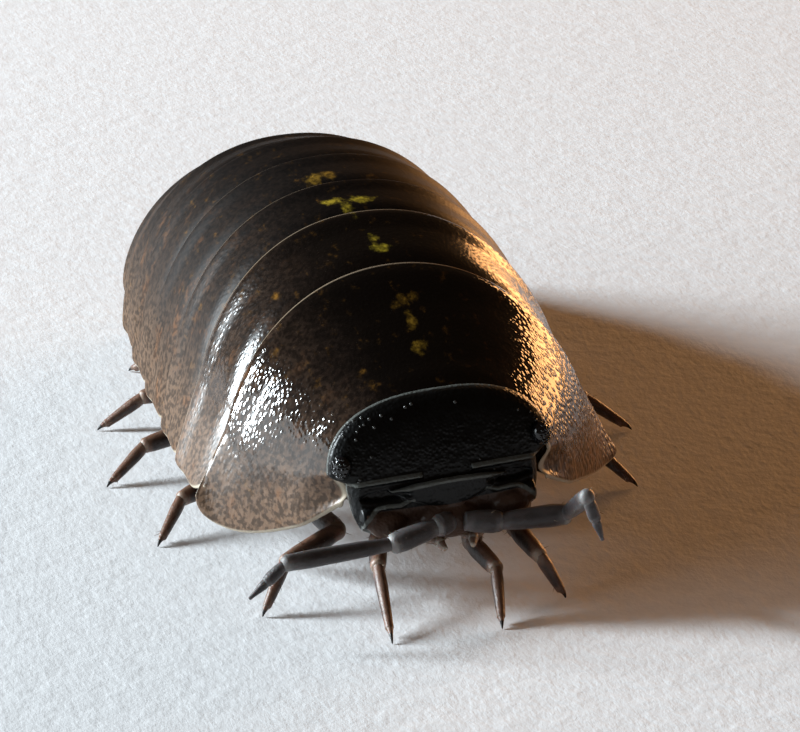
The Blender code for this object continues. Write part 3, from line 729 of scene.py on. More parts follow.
@dataclass
class Plate:
    """One ring: a back plate with a tucked front, a lip and rolled hems, and its piece of belly.

    Sizes are in millimetres. Names that end in from, end or top are shares of the ring's length
    or of the arch from crest to hem, and lip, step and dips are measured from the outline.
    """

    name: str
    outline: Outline
    lines: Sequence[Line]
    length: float
    middle: float = 0.5
    reach: float = 1.0
    lip: float = 0.05
    wall: float = 0.30
    cover: float = 0.0
    corner: float = 0.06
    bend_from: float = 0.78
    bend_in: float = 0.26
    bend_up: float = 0.18
    bend_run: float = 0.16
    dull: float = 0.0
    spots: Sequence[Spot] = ()
    columns: int = 201
    tuck: float = 0.18
    tuck_dip: float = 0.09
    step: float = 0.13
    step_end: float = 0.34
    neck_swell: float = 0.02
    body_end: float = 0.62
    lip_from: float = 0.64
    lip_top: float = 0.90
    crown_share: float = 0.3
    undercut: float = 0.22
    undercut_dip: float = 0.03
    edge_radius: float = 0.030
    hem_radius: float = 0.045
    belly_z: float = 1.72
    belly_cover: float = 0.45
    belly_spread: float = 1.15
    belly_bow: float = 6.0
    belly_rise: float = 0.10
    sternite: float = 0.07
    wall_from: float = 0.88

    @property
    def first(self) -> bool:
        """Whether it is the first ring, which opens round the head."""
        return len(self.lines) == 3

    def surface(self, t: Array, share: Array) -> Array:
        """Places on the outline between the plate's cross lines."""
        points = [line(t) for line in self.lines]
        share = share[..., None]
        if not self.first:
            return points[0] + (points[1] - points[0]) * share
        m = self.middle
        weights = (
            (share - m) * (share - 1) / m,
            share * (share - 1) / (m * (m - 1)),
            share * (share - m) / (1 - m),
        )
        edge = np.maximum(np.abs(t) - self.bend_from, 0.0) / (1 - self.bend_from)
        fade = np.clip(1 - share[..., 0] / self.bend_run, 0.0, 1.0) ** 1.5
        inward = self.bend_in * np.sin(2.3 * edge) ** 1.5
        rise = self.bend_up * edge
        bend = triples(-np.copysign(inward, t), 0.2 * rise, rise) * fade[..., None]
        return sum(point * weight for point, weight in zip(points, weights)) + bend

    def lobed(self, rows: Array, shares: Array, t: Array) -> Array:
        """The rows with the front and rear corners of their hems raised."""
        low = np.maximum(np.abs(t) - 0.55, 0.0) / 0.45
        ends = np.clip(np.abs(2 * shares - 1), 0.0, 1.0) ** 4
        if not self.first:
            rows[..., 2] += self.corner * ends * low**3
        rows[..., 2] += self.hem_radius * ease(np.abs(t), 0.93, 1.0)
        return rows

    def stations(self) -> tuple[Array, Array]:
        """Shares of the length and heights over the outline, from the front round the lip."""
        unit_mm = 1 / self.length
        radius = self.edge_radius
        crown = self.lip * self.crown_share
        if self.first:
            turn = np.radians(np.linspace(-90, 90, 7))
            front = radius * (1 - np.cos(turn)) * unit_mm
            shares = [np.array([0.14, 0.07]) * unit_mm, front]
            lifts = [np.array([-0.13, -0.10]), -radius + radius * np.sin(turn)]
            body = np.linspace(0.05, self.body_end, 30)
            shares.append(body)
            lifts.append(self.neck_swell * ease(body, 0.02, 0.10) * (1 - ease(body, 0.10, 0.22)))
        else:
            tuck = np.linspace(-self.tuck, 0.0, 6)
            shares = [tuck * unit_mm]
            lifts = [-self.step - self.tuck_dip * (tuck / self.tuck) ** 2]
            body = np.linspace(0.0, self.body_end, 26)[1:]
            shares.append(body)
            lifts.append(-self.step * np.maximum(1 - body / self.step_end, 0.0) ** 2)
        lip = np.linspace(self.lip_from, 1 - radius * unit_mm, 16)[:-1]
        shares.append(lip)
        rise, fall = ease(lip, self.lip_from, self.lip_top), ease(lip, self.lip_top, 1.0)
        lifts.append(self.lip * rise - (self.lip - crown) * fall)
        turn = np.radians(np.linspace(90, -90, 8))
        shares.append(1 + radius * (np.cos(turn) - 1) * unit_mm)
        lifts.append(crown - radius + radius * np.sin(turn))
        under = np.linspace(0.0, self.undercut, 6)[1:]
        shares.append(1 - (radius + under) * unit_mm)
        lifts.append(crown - 2 * radius - self.undercut_dip * ease(under, 0.0, self.undercut))
        return np.concatenate(shares), np.concatenate(lifts)

    def outer(self, shares: Array, lifts: Array, t: Array) -> Array:
        """Rows of the outer surface."""
        spread = shares[:, None] * np.ones_like(t)
        tucked = spread * (1 - 0.7 * ease(np.abs(t), 0.78, 0.92))
        spread = spread if self.first else np.where(spread < 0, tucked, spread)
        rows = self.surface(t[None, :], spread)
        turn = t * np.pi / 2
        out = triples(np.sin(turn), 0 * t, np.maximum(np.cos(turn), 0.0))
        return self.lobed(rows + out[None] * lifts[:, None, None], spread, t)

    def inner(self, shares: Array, t: Array) -> Array:
        """Rows of the inner surface: a thin wall along each hem, and the belly between them."""
        unit_mm = 1 / self.length
        spaced = np.linspace(0.0, 1.0, len(shares))[:, None]
        last = 1 - (self.undercut + self.edge_radius) * unit_mm
        followed = np.clip(shares, 0.02, last)[:, None] * 0.92 + spaced * last * 0.08
        even = 0.015 + 0.97 * spaced
        hemward = ease(np.abs(t), 0.72, 0.90)[None, :]
        share = even + (followed - even) * hemward
        p = self.surface(np.broadcast_to(t, share.shape), share)
        middle = self.surface(np.zeros_like(share), even * np.ones_like(share))
        thick = 2 * self.hem_radius
        wall = thick + (self.wall - thick) * ease(np.abs(t), 1.0, self.wall_from - 0.01)
        hemmed = self.lobed(p - triples(np.copysign(wall, t), 0 * t, 0 * t), share, t)
        spread = np.abs(t) / self.wall_from
        across, _ = self.outline.arch(t)
        half = np.abs(p[..., 0] / np.where(across == 0, 1.0, across))
        x = np.copysign((half - self.wall * 1.6) * spread**self.belly_spread, t)
        run = p[..., 1] - middle[..., 1]
        y = middle[..., 1] + run * np.where(run < 0, spread, spread**self.belly_bow)
        z = np.minimum(self.belly_z, middle[..., 2] - self.belly_cover) + self.belly_rise * spread**4
        z = z - self.sternite * np.sin(np.pi * even) ** 0.7 * (1 - spread**2).clip(0.0, 1.0)
        if self.cover:
            z = np.minimum(z, p[..., 2] - self.cover)
        flat = triples(x, y, z)
        return np.where((np.abs(t) > self.wall_from)[None, :, None], hemmed, flat)

    def rolled(self, first: Array, last: Array) -> Array:
        """Three columns that roll a hem round from the outer surface to the inner one."""
        centre, half = (first + last) / 2, (first - last) / 2
        down = np.zeros_like(half)
        down[..., 2] = -np.linalg.norm(half, axis=-1)
        turns = np.radians((45, 90, 135))
        return np.stack([centre + half * math.cos(a) + down * math.sin(a) for a in turns], 1)

    def marks(self, points: Array) -> Array:
        """How strongly each place is marked, and its tint."""
        found = np.zeros(points.shape)
        found[..., 2] = self.dull
        for spot in self.spots:
            dx = (points[..., 0] - spot.x) / spot.half_x
            dy = (points[..., 1] - spot.y) / spot.half_y
            strength = np.maximum(1.15 - np.sqrt(dx**2 + dy**2), 0.0)
            better = strength > found[..., 0]
            found[..., 0] = np.where(better, strength, found[..., 0])
            found[..., 1] = np.where(better, spot.tint, found[..., 1])
        return found

    def build(self, shell: bpy.types.Material, belly: bpy.types.Material) -> bpy.types.Object:
        """Makes the ring.

        Args:
            shell: The material of its outer surface and hems.
            belly: The material of its belly.

        Returns:
            The finished object.
        """
        t = np.linspace(-1.0, 1.0, self.columns) * self.reach
        shares, lifts = self.stations()
        outer, inner = self.outer(shares, lifts, t), self.inner(shares, t)
        left = self.rolled(outer[:, -1], inner[:, -1])
        right = self.rolled(inner[:, 0], outer[:, 0])
        rings = np.concatenate([right[:, 1:], outer, left, inner[:, ::-1], right[:, :1]], 1)
        around = rings.shape[1]
        walked = np.linalg.norm(np.diff(rings, axis=1, append=rings[:, :1]), axis=-1)
        arc = np.concatenate([np.zeros((len(rings), 1)), np.cumsum(walked, 1)], 1)
        middle, total = arc[:, around // 2 : around // 2 + 1], arc[:, -1:]
        arc = arc[:, :-1]
        hem = np.minimum.reduce([arc, np.abs(arc - middle), total - arc])
        along = np.broadcast_to(shares[:, None], hem.shape)
        place = np.zeros(rings.shape)
        place[:, 2 : 2 + len(t), 0] = t
        place[:, 2 + len(t) : 5 + len(t), 0] = 1.0
        place[:, 5 + len(t) : 5 + 2 * len(t), 0] = t[::-1]
        place[:, [0, 1, -1], 0] = -1.0
        place[..., 1] = np.abs(1 - along) * self.length
        if self.first:
            front = np.abs(along) * self.length * 2.0 + 0.5 * ease(np.abs(place[..., 0]), 0.5, 0.2)
            hem = np.minimum(hem, front)
        place[..., 2] = hem
        marks = self.marks(rings)
        marks[:, 5 + len(t) :, 0] = 0.0
        slots = np.zeros(around, int)
        slots[5 + len(t) : 5 + 2 * len(t)] = np.abs(t[::-1]) < self.wall_from
        form = Form(self.name)
        form.loft(rings, Cap.STRIP, {"place": place, "mark": marks}, slots)
        return form.to_object([shell, belly])


@dataclass
class Trunk:
    """The seven rings of the trunk and the five behind it."""

    outline: Outline = field(default_factory=Outline)
    neck_y: float = -5.78
    neck_top: float = 3.27
    neck_hem: float = 1.44
    neck_half: float = 1.86
    neck_lean: float = 0.20
    shoulder_share: float = 0.38
    shoulder_sweep: float = -0.15
    shoulder_half: float = 2.80
    shoulder_hems: tuple[float, float] = (0.76, 0.98)
    left_drop: float = 0.14
    corners: Sequence[float] = (0.0, 0.14, 0.11, 0.07, 0.06, 0.06, 0.06)
    flare_from: float = 0.76
    flare_power: float = 1.4
    pereon: Sequence[RearEdge] = (
        RearEdge(2.62, -0.80, 1.5, 0.50, 1.08),
        RearEdge(1.62, -0.84, 1.8, 0.34, 1.03),
        RearEdge(1.29, -0.42, 2.0, 0.16, 0.95),
        RearEdge(1.38, -0.05, 3.0, 0.06, 0.90),
        RearEdge(1.37, 0.16, 3.0, 0.0, 0.88),
        RearEdge(1.34, 0.42, 3.5, 0.0, 0.88),
        RearEdge(1.25, 1.00, 4.0, 0.0, 0.88),
    )
    pleon: Sequence[RearEdge] = (
        RearEdge(0.36, 0.70, 4.0, 0.0, 0.88),
        RearEdge(0.36, 0.36, 4.0, 0.0, 0.88),
        RearEdge(0.52, 0.50, 3.0, 0.0, 0.87),
        RearEdge(0.50, 0.42, 3.0, 0.0, 0.86),
        RearEdge(0.48, 0.32, 3.0, 0.0, 0.85),
    )
    narrow_count: int = 2
    narrow_reach: float = 0.90
    tail_cover: float = 0.20
    tail_sizes: dict[str, float] = field(
        default_factory=lambda: {
            "lip": 0.03, "wall": 0.22, "corner": 0.0, "dull": 1.0,
            "step": 0.11, "tuck": 0.12, "undercut": 0.15, "sternite": 0.03,
        }
    )
    matt_from: float = 0.5
    spots: Sequence[Spot] = (
        Spot(-0.04, -3.98, 0.30, 0.16, 0.10),
        Spot(-0.02, -4.38, 0.13, 0.26, 0.18),
        Spot(-0.03, -4.97, 0.26, 0.16, 0.22),
        Spot(-0.02, -2.66, 0.20, 0.16, 1.00),
        Spot(-0.08, -2.38, 0.12, 0.30, 0.75),
        Spot(-0.20, -1.42, 0.13, 0.36, 0.80),
        Spot(-0.38, -0.98, 0.22, 0.14, 0.65),
        Spot(0.10, -1.05, 0.28, 0.16, 0.85),
        Spot(-0.44, 0.10, 0.16, 0.28, 0.15),
        Spot(-0.12, 0.16, 0.14, 0.22, 0.10),
        Spot(-1.86, -2.74, 0.10, 0.12, 0.00),
        Spot(-1.05, -5.10, 0.12, 0.10, 0.00),
    )

    def neck(self, t: Array) -> Array:
        """The front edge of the first plate, which leans forward round the head."""
        across, down = self.outline.arch(t)
        z = self.neck_top - (self.neck_top - self.neck_hem) * down
        return triples(self.neck_half * across, self.neck_y - self.neck_lean * (self.neck_top - z), z)

    def shoulder(self, t: Array) -> Array:
        """A cross line of the first plate, where its hem is lowest."""
        across, down = self.outline.arch(t)
        y = self.neck_y + self.shoulder_share * self.pereon[0].length + self.shoulder_sweep * np.abs(t) ** 3
        top = self.outline.crest(y)
        hem = np.where(t > 0, self.shoulder_hems[1], self.shoulder_hems[0])
        return triples(self.shoulder_half * across, y, top - (top - hem) * down)

    def margin(self, y: float, edge: RearEdge, left_drop: float = 0.0) -> Line:
        """The rear edge of a ring as a function of t."""

        def line(t: Array) -> Array:
            """Places on the rear edge."""
            across, down = self.outline.arch(t)
            out = np.maximum(np.abs(t) - self.flare_from, 0.0) / (1 - self.flare_from)
            real_y = y + edge.sweep * np.abs(t) ** edge.power
            top = self.outline.crest(real_y)
            flare = np.copysign(edge.flare * out**self.flare_power, t)
            x = self.outline.half_width(real_y) * across + flare
            low = np.where(t > 0, edge.hem - left_drop, edge.hem)
            return triples(x, real_y, top - (top - low) * down)

        return line

    def plates(self) -> list[Plate]:
        """The twelve rings from front to rear."""
        found: list[Plate] = []
        y, front = self.neck_y, self.neck
        named = [(f"pereonite_{n}", edge) for n, edge in enumerate(self.pereon, 1)]
        named += [(f"pleonite_{n}", edge) for n, edge in enumerate(self.pleon, 1)]
        for name, edge in named:
            y += edge.length
            rear = self.margin(y, edge, 0.0 if found else self.left_drop)
            lines = (front, rear) if found else (front, self.shoulder, rear)
            sizes = self.sizes(len(found))
            found.append(Plate(name, self.outline, lines, edge.length, self.shoulder_share, **sizes))
            front = rear
        return found

    def sizes(self, place: int) -> dict[str, Any]:
        """The sizes that set a ring apart from a plain plate, by its place from 0 at the front."""
        if place < len(self.pereon):
            dull = min(max((place - 0.5) * 0.5, 0.0), 1.0)
            return {"spots": self.spots, "corner": self.corners[place], "dull": dull}
        if place < len(self.pereon) + self.narrow_count:
            return self.tail_sizes | {"reach": self.narrow_reach}
        return self.tail_sizes | {"cover": self.tail_cover}

    @property
    def tail_y(self) -> float:
        """Where the last ring ends along the midline."""
        return self.neck_y + sum(edge.length for edge in (*self.pereon, *self.pleon))

    def build(self, wardrobe: Wardrobe) -> None:
        """Makes and settles all rings."""
        for plate in self.plates():
            shell = wardrobe.rear_shell if plate.dull > self.matt_from else wardrobe.shell
            settle(plate.build(shell, wardrobe.belly), "shell", plate.name)


@dataclass
class Tail:
    """The tail plate with its blunt tip, and the two flat tail limbs beside it."""

    outline: Outline
    start: float
    gap: float = 0.03
    length: float = 0.76
    base_half: float = 0.86
    tip_half: float = 0.36
    curve: float = 0.8
    bow: float = 0.05
    limb_front: float = 1.37
    limb_rear: float = 0.92
    front_bow: float = 0.12
    rear_bow: float = 0.20
    limb_short: float = 0.06
    limb_gap: float = 0.04
    hem: float = 0.80
    thick: float = 0.30
    thinning: float = 0.45
    rounding: float = 0.05
    rim: float = 0.02
    side_slope: float = 7.0
    end_slopes: tuple[float, float] = (12.0, 8.0)
    mark_half: float = 1.6
    mark_most: float = 0.8
    mark_hem: float = 0.03
    columns: int = 49
    rows: int = 33

    def half(self, v: Array) -> Array:
        """Half the width of the tail plate at a share of its length."""
        return self.base_half + (self.tip_half - self.base_half) * v**self.curve

    def telson(self, u: Array, v: Array) -> tuple[Array, Array]:
        """Plan of the tail plate at shares across and along."""
        spread = 2 * u - 1
        length = self.length - self.gap
        return spread * self.half(v), self.start + self.gap + length * v - self.bow * spread**2 * v

    def limb(self, side: Side) -> Plan:
        """Plan of a tail limb at shares across and along."""

        def plan(u: Array, v: Array) -> tuple[Array, Array]:
            """Places in plan."""
            inner = self.half(v) + self.limb_gap
            outer = self.limb_front + (self.limb_rear - self.limb_front) * v
            front = self.start + self.gap + self.front_bow * u**2
            rear = self.start + self.length - self.limb_short - self.rear_bow * u**2
            return side.value * (inner + (outer - inner) * u), front + (rear - front) * v

        return plan

    def slab(self, name: str, plan: Plan) -> Form:
        """A plate with rounded edges on the outline of the back.

        Args:
            name: The piece's name.
            plan: Its plan, which takes shares across and along.

        Returns:
            The form.
        """
        uu, vv = np.meshgrid(bunched(self.columns), bunched(self.rows))
        x, y = plan(uu, vv)
        top = self.outline.height(x, y, self.hem)
        sides, (front, back) = np.minimum(uu, 1 - uu) * self.side_slope, self.end_slopes
        edge = np.minimum(sides, np.minimum(vv * front, (1 - vv) * back)).clip(0.0, 1.0)
        round_off = 1 - np.sqrt(1 - (1 - edge) ** 2)
        thick = self.thick * (1 - self.thinning * vv)
        upper = top - round_off * self.rounding
        lower = top - thick + round_off * (thick - self.rounding - self.rim)
        rings = wrapped(triples(x, y, upper), triples(x, y, lower))
        rear, flat = wrapped(vv, vv), wrapped(uu, uu)
        across = np.clip(rings[..., 0] / self.mark_half, -self.mark_most, self.mark_most)
        hem = self.mark_hem + np.minimum(flat, 1 - flat)
        place = triples(across, (1 - rear) * self.length, hem)
        form = Form(name)
        dull = np.zeros(rings.shape)
        dull[..., 2] = 1.0
        form.loft(rings, Cap.STRIP, {"place": place, "mark": dull})
        return form

    def build(self, wardrobe: Wardrobe) -> None:
        """Makes and settles the three plates."""
        settle(self.slab("telson", self.telson).to_object([wardrobe.tail_shell]), "shell", "telson")
        for side in Side:
            name = f"uropod_{side.word}"
            settle(self.slab(name, self.limb(side)).to_object([wardrobe.tail_shell]), "shell", name)


@dataclass(frozen=True)
class Lump:
    """A rounded swelling on the face: its place, how far forward it is centred, its half sizes."""

    x: float
    z: float
    proud: float
    size: Triple


def ball(centre: Array, size: Sequence[float], around: int = 32, rings: int = 20) -> Array:
    """Rings of points of an ellipsoid.

    Args:
        centre: Its middle.
        size: Its half sizes.
        around: Points in a ring.
        rings: Rings from pole to pole.

    Returns:
        The rings, for a loft with fan caps.
    """
    polar = np.linspace(0.03, 0.97, rings)[:, None] * np.pi
    turn = circle(around)[None, :]
    x, y = np.sin(polar) * np.cos(turn), np.sin(polar) * np.sin(turn)
    z = np.cos(polar) * np.ones_like(turn)
    return np.asarray(centre) + triples(x, y, z) * np.asarray(size)


@dataclass
class Head:
    """The head: a rounded capsule with a rear rim, brow ridges, a shield, lobes and eye pits."""

    neck_y: float = -5.78
    neck_top: float = 3.27
    lean: float = 0.20
    back_gap: float = 0.10
    sunk: float = 0.28
    sunk_scale: float = 0.80
    z: float = 1.933
    half: float = 1.832
    up: float = 1.225
    down: float = 1.02
    power: float = 2.53
    tilt: float = 0.045
    shift: Triple = (-0.104, 0.0, 0.153)
    pivot: Triple = (0.0, -5.90, 2.10)
    scales: Sequence[float] = (0.95, 1.0, 0.99, 0.93, 0.80, 0.62, 0.40, 0.18)
    depths: Sequence[float] = (0.0, 0.08, 0.15, 0.24, 0.32, 0.38, 0.42, 0.44)
    rim_radius: float = 0.032
    eye_place: Triple = (1.62, -6.36, 2.28)
    eye_size: Triple = (0.165, 0.165, 0.205)
    eye_axis: Triple = (-0.75, 0.62, -0.05)
    pit: float = -0.030
    brow_z: float = 2.011
    brow_span: tuple[float, float] = (0.40, 1.56)
    brow_drop: float = 0.06
    brow_radius: float = 0.045
    shield_half: float = 0.92
    shield_top: float = 1.843
    shield_arch: float = 0.10
    shield_apex: float = 1.42
    shield_proud: float = 0.16
    shield_thick: tuple[float, float] = (0.11, 0.30)
    lumps: Sequence[Lump] = (
        Lump(1.30, 1.42, -0.01, (0.22, 0.15, 0.18)),
        Lump(1.00, 1.28, 0.0, (0.32, 0.17, 0.22)),
        Lump(0.0, 1.20, -0.02, (0.52, 0.22, 0.30)),
    )
    curve: Sequence[tuple[float, float]] = (
        (0.60, 1.66), (0.69, 1.62), (0.80, 1.59), (1.00, 1.60), (1.15, 1.58),
        (1.25, 1.53), (1.38, 1.41), (1.45, 1.31), (1.40, 1.20), (1.30, 1.17),
    )
    curve_radius: float = 0.034
    jaw: float = 1.40
    jaw_share: float = 0.67
    jaw_z: tuple[float, float] = (2.12, 1.90)
    chin_half: float = 1.36
    chin_z: tuple[float, float] = (1.56, 1.48)
    recess: tuple[float, float, float, float] = (1.02, 1.76, 0.40, 0.085)
    recess_depth: float = 0.10
    recess_slope: float = 0.05
    beads: Sequence[tuple[float, float]] = (
        (-1.32, 2.90), (-1.20, 2.94), (-1.09, 2.93), (-0.90, 2.96), (-1.04, 2.81), (-1.31, 2.77),
        (-1.52, 2.71), (-0.50, 3.03), (-0.40, 3.06), (-1.16, 2.39), (-1.57, 2.41), (0.56, 2.10),
        (0.51, 1.98), (0.78, 1.90), (0.89, 1.80), (1.58, 2.48), (1.75, 2.23), (1.40, 1.98),
        (-1.38, 2.06), (-1.40, 2.02), (-1.35, 2.66), (-1.19, 2.86), (-1.44, 2.83), (0.30, 2.99),
        (-0.25, 1.84), (-0.52, 1.83), (-0.75, 2.90), (-1.25, 2.84), (1.50, 2.62), (1.30, 2.70),
    )
    bead_radius: float = 0.030
    voxel: float = 0.021
    grain: float = 0.004
    grain_scale: float = 9.0

    def plane(self, z: Array | float) -> Array | float:
        """Where the flat back of the head lies at a height."""
        return self.neck_y - self.back_gap - self.lean * (self.neck_top - z)

    def radius(self, x: Array, z: Array) -> Array:
        """How far out a place lies, from 0 in the middle of the face to 1 on its outline."""
        rise = (z - self.z) / np.where(z > self.z, self.up, self.down)
        return (np.abs(x / self.half) ** self.power + np.abs(rise) ** self.power) ** (1 / self.power)

    def face(self, x: Array | float, z: Array | float) -> Array:
        """How far forward the plain head reaches at a place seen from the front."""
        outwards, depths = list(self.scales[1:])[::-1] + [1.5], list(self.depths[1:])[::-1] + [0.0]
        return self.plane(z) - np.interp(self.radius(np.asarray(x), np.asarray(z)), outwards, depths)

    def ring(self, scale: float, depth: float, around: int = 120) -> Array:
        """A loop of the capsule at a share of its outline and a depth in front of its back."""
        turn = circle(around)
        c, s = np.cos(turn), np.sin(turn)
        x = np.copysign(np.abs(c) ** (2 / self.power), c) * self.half * scale
        rise = np.copysign(np.abs(s) ** (2 / self.power), s) * scale
        z = self.z + rise * np.where(rise > 0, self.up, self.down)
        return triples(x, self.plane(z) - depth, z)

    def capsule(self) -> Array:
        """Rings of the plain head, which reaches back into the first ring of the trunk."""
        shares = np.linspace(0.0, len(self.scales) - 1.0, 30)
        places = np.arange(len(self.scales))
        scales, depths = np.interp(shares, places, self.scales), np.interp(shares, places, self.depths)
        rings = [self.ring(self.sunk_scale, -self.sunk)]
        rings += [self.ring(scale, depth) for scale, depth in zip(scales, depths)]
        return np.stack(rings)

    def tube(self, centres: Array, radii: Array, out: float = 1.0) -> Array:
        """Rings of a strip along points on the face; out makes it stand further forward."""
        turn = circle(14)
        along = np.gradient(centres, axis=0)
        along /= np.linalg.norm(along, axis=1)[:, None]
        forward = np.array([0.0, -1.0, 0.0])
        side = np.cross(along, forward)
        side /= np.linalg.norm(side, axis=1)[:, None]
        rays = side[:, None] * np.sin(turn)[None, :, None] + forward * np.cos(turn)[None, :, None] * out
        return centres[:, None] + rays * radii[:, None, None]

    def rim(self) -> Array:
        """Rings of the bead along the rear edge of the head, over its top and sides."""
        loop = self.ring(0.985, 0.02, 200)
        keep = loop[loop[:, 2] > self.z - 0.75]
        ordered = keep[np.argsort(np.arctan2(keep[:, 0], keep[:, 2] - self.z + 0.2))]
        return self.tube(ordered, self.rim_radius * tapered(len(ordered), 12, 0.15))

    def brow(self, side: Side) -> Array:
        """Rings of the fine ridge above a feeler, from beside the shield out to the eye."""
        share = np.linspace(0.0, 1.0, 24)
        x = side.value * (self.brow_span[0] + (self.brow_span[1] - self.brow_span[0]) * share)
        z = self.brow_z - self.brow_drop * share**2
        centres = triples(x, self.face(x, z), z)
        return self.tube(centres, self.brow_radius * (1 - 0.3 * share), 1.7)

    def shield(self) -> Array:
        """Rings of the triangular shield between the feelers, with its free upper edge."""
        v = np.linspace(0.0, 1.0, 26)[:, None]
        u = np.linspace(-1.0, 1.0, 41)[None, :]
        half = self.shield_half * (1 - v**1.25) + 0.05
        top = self.shield_top + self.shield_arch * (1 - u**2)
        x, z = u * half, top + (self.shield_apex - top) * v
        proud = self.shield_proud * (1 - 0.45 * v) * (1 - 0.35 * u**2)
        y = self.face(x, np.minimum(z, self.shield_top)) - proud
        thick = self.shield_thick[0] + self.shield_thick[1] * v
        return wrapped(triples(x, y, z), triples(x, y + thick, z))

    def cheek(self, side: Side) -> Array:
        """Rings of the curved lower edge of the feeler's socket."""
        line = np.array(self.curve)
        walked = np.concatenate([[0.0], np.cumsum(np.linalg.norm(np.diff(line, axis=0), axis=1))])
        along = np.linspace(0.0, walked[-1], 40)
        x, z = (np.interp(along, walked, line[:, k]) for k in (0, 1))
        centres = triples(side.value * x, self.face(x, z), z)
        return self.tube(centres, self.curve_radius * tapered(len(centres), 6, 0.3), 2.0)

    def eye(self, side: Side) -> Array:
        """The middle of an eye, before the head is carried to its place."""
        return side.of(self.eye_place)

    def carried(self, points: Array) -> Array:
        """Points or directions of the head in the pose in which the head is carried."""
        local = np.asarray(points, float) - self.pivot
        c, s = math.cos(self.tilt), math.sin(self.tilt)
        x, y, z = local[..., 0], local[..., 1], local[..., 2]
        return triples(c * x - s * z, y, s * x + c * z) + self.pivot + self.shift

    def shaped(self) -> bpy.types.Object:
        """All forms of the head fused into one skin, in millimetres."""
        form = Form("head_blank")
        form.loft(self.capsule())
        form.loft(self.rim())
        form.loft(self.shield(), Cap.STRIP)
        for side in Side:
            form.loft(self.brow(side))
            form.loft(self.cheek(side))
            for lump in self.lumps:
                x = side.value * lump.x
                form.loft(ball([x, self.face(x, lump.z) - lump.proud, lump.z], lump.size))
        blank = form.to_object([], 1.0)
        fuse = blank.modifiers.new("fuse", "REMESH")
        fuse.mode = "VOXEL"
        fuse.voxel_size = self.voxel
        soften = blank.modifiers.new("soften", "SMOOTH")
        soften.factor = 0.5
        soften.iterations = 3
        return evaluated(blank, "head", 1.0)

    def carve(self, points: Array, normals: Array) -> Array:
        """Sinks the eye pits and feeler sockets into the skin and gives it a fine grain."""
        moved = points.copy()
        x, z, half_x, half_z = self.recess
        aside = np.abs(moved[:, 0]) - x
        off = (aside / half_x) ** 2 + ((moved[:, 2] - z + self.recess_slope * aside) / half_z) ** 2
        front = ease(moved[:, 1], self.plane(moved[:, 2]) - 0.08, self.plane(moved[:, 2]) - 0.2)
        moved[:, 1] += self.recess_depth * (1 - ease(off, 0.5, 1.3)) * front
        over = np.maximum(np.abs(moved[:, 0]) - self.jaw, 0.0)
        moved[:, 0] -= np.copysign(over * self.jaw_share * ease(moved[:, 2], *self.jaw_z), moved[:, 0])
        for side in Side:
            size = np.array(self.eye_size) + self.pit
            inward = unit(side.of(self.eye_axis))
            local, ray = (moved - self.eye(side)) / size, inward / size
            b, c = local @ ray, (local**2).sum(1) - 1
            a = ray @ ray
            reach = (-b + np.sqrt(np.maximum(b * b - a * c, 0.0))) / a
            moved += np.where(c < 0, reach, 0.0)[:, None] * inward
        lift = np.array([noise.noise(Vector(p) * self.grain_scale) for p in points]) * self.grain
        return moved + normals * lift[:, None]

    def tones(self, points: Array) -> Array:
        """Shares of the rim, the ridges and the brown lower face."""
        x, y, z = points.T
        radius = self.radius(x, z)
        rim = ease(radius, 0.955, 0.99) * ease(y, self.plane(z) - 0.10, self.plane(z) - 0.03)
        rim *= ease(z, self.z - 0.8, self.z - 0.5)
        span = np.clip((np.abs(x) - self.brow_span[0]) / (self.brow_span[1] - self.brow_span[0]), 0.0, 1.0)
        brow = ease(np.abs(z - self.brow_z + self.brow_drop * span**2 - 0.02), 0.045, 0.02) * (span > 0)
        top = self.shield_top + self.shield_arch * (1 - (x / self.shield_half) ** 2)
        free = ease(np.abs(z - top + 0.02), 0.05, 0.02) * ease(self.face(x, z) - y, 0.03, 0.08)
        line = np.array(self.curve)
        flat = np.stack([np.abs(x), z], -1)
        nearest = np.full(len(x), 9.0)
        for a, b in zip(line, line[1:]):
            share = np.clip(((flat - a) @ (b - a)) / ((b - a) @ (b - a)), 0.0, 1.0)
            nearest = np.minimum(nearest, np.linalg.norm(flat - a - share[:, None] * (b - a), axis=1))
        curve = ease(nearest, 0.05, 0.02) * (y < self.plane(z) - 0.1)
        # The ridge share marks grey lines along the brows, the shield's free edge and the cheek curves,
        # partly a painted highlight on their lit edges.
        ridge = np.maximum.reduce([brow, free, curve])
        inside = (np.abs(x) < self.chin_half) & (nearest > 0.03)
        return triples(rim, ridge, ease(z, *self.chin_z) * inside)

    def build(self, wardrobe: Wardrobe) -> None:
        """Makes and settles the head."""
        piece = self.shaped()
        mesh = piece.data
        points = np.empty(len(mesh.vertices) * 3)
        mesh.vertices.foreach_get("co", points)
        points = points.reshape(-1, 3)
        normals = np.array([tuple(v.normal) for v in mesh.vertices])
        moved = self.carried(self.carve(points, normals))
        mesh.vertices.foreach_set("co", (moved * MM).ravel())
        write_values(mesh, "tone", self.tones(points))
        mesh.materials.clear()
        mesh.materials.append(wardrobe.head)
        mesh.update()
        mesh.shade_smooth()
        settle(piece, "head_shell", "head")
        places = np.array([(x, float(self.face(x, z)), z) for x, z in self.beads])
        out = triples(places[:, 0] * 0.4, np.full(len(places), -1.0), (places[:, 2] - self.z) * 0.7)
        host = host_of_points(self.carried(places), out)
        sizes = {"Radius": self.bead_radius, "Seed": 3, "Smallest": 0.6}
        growth = dome_growth("granules", 0.75)
        settle(growth.grow(host, "head_granules", wardrobe.bead, **sizes), "head_shell")


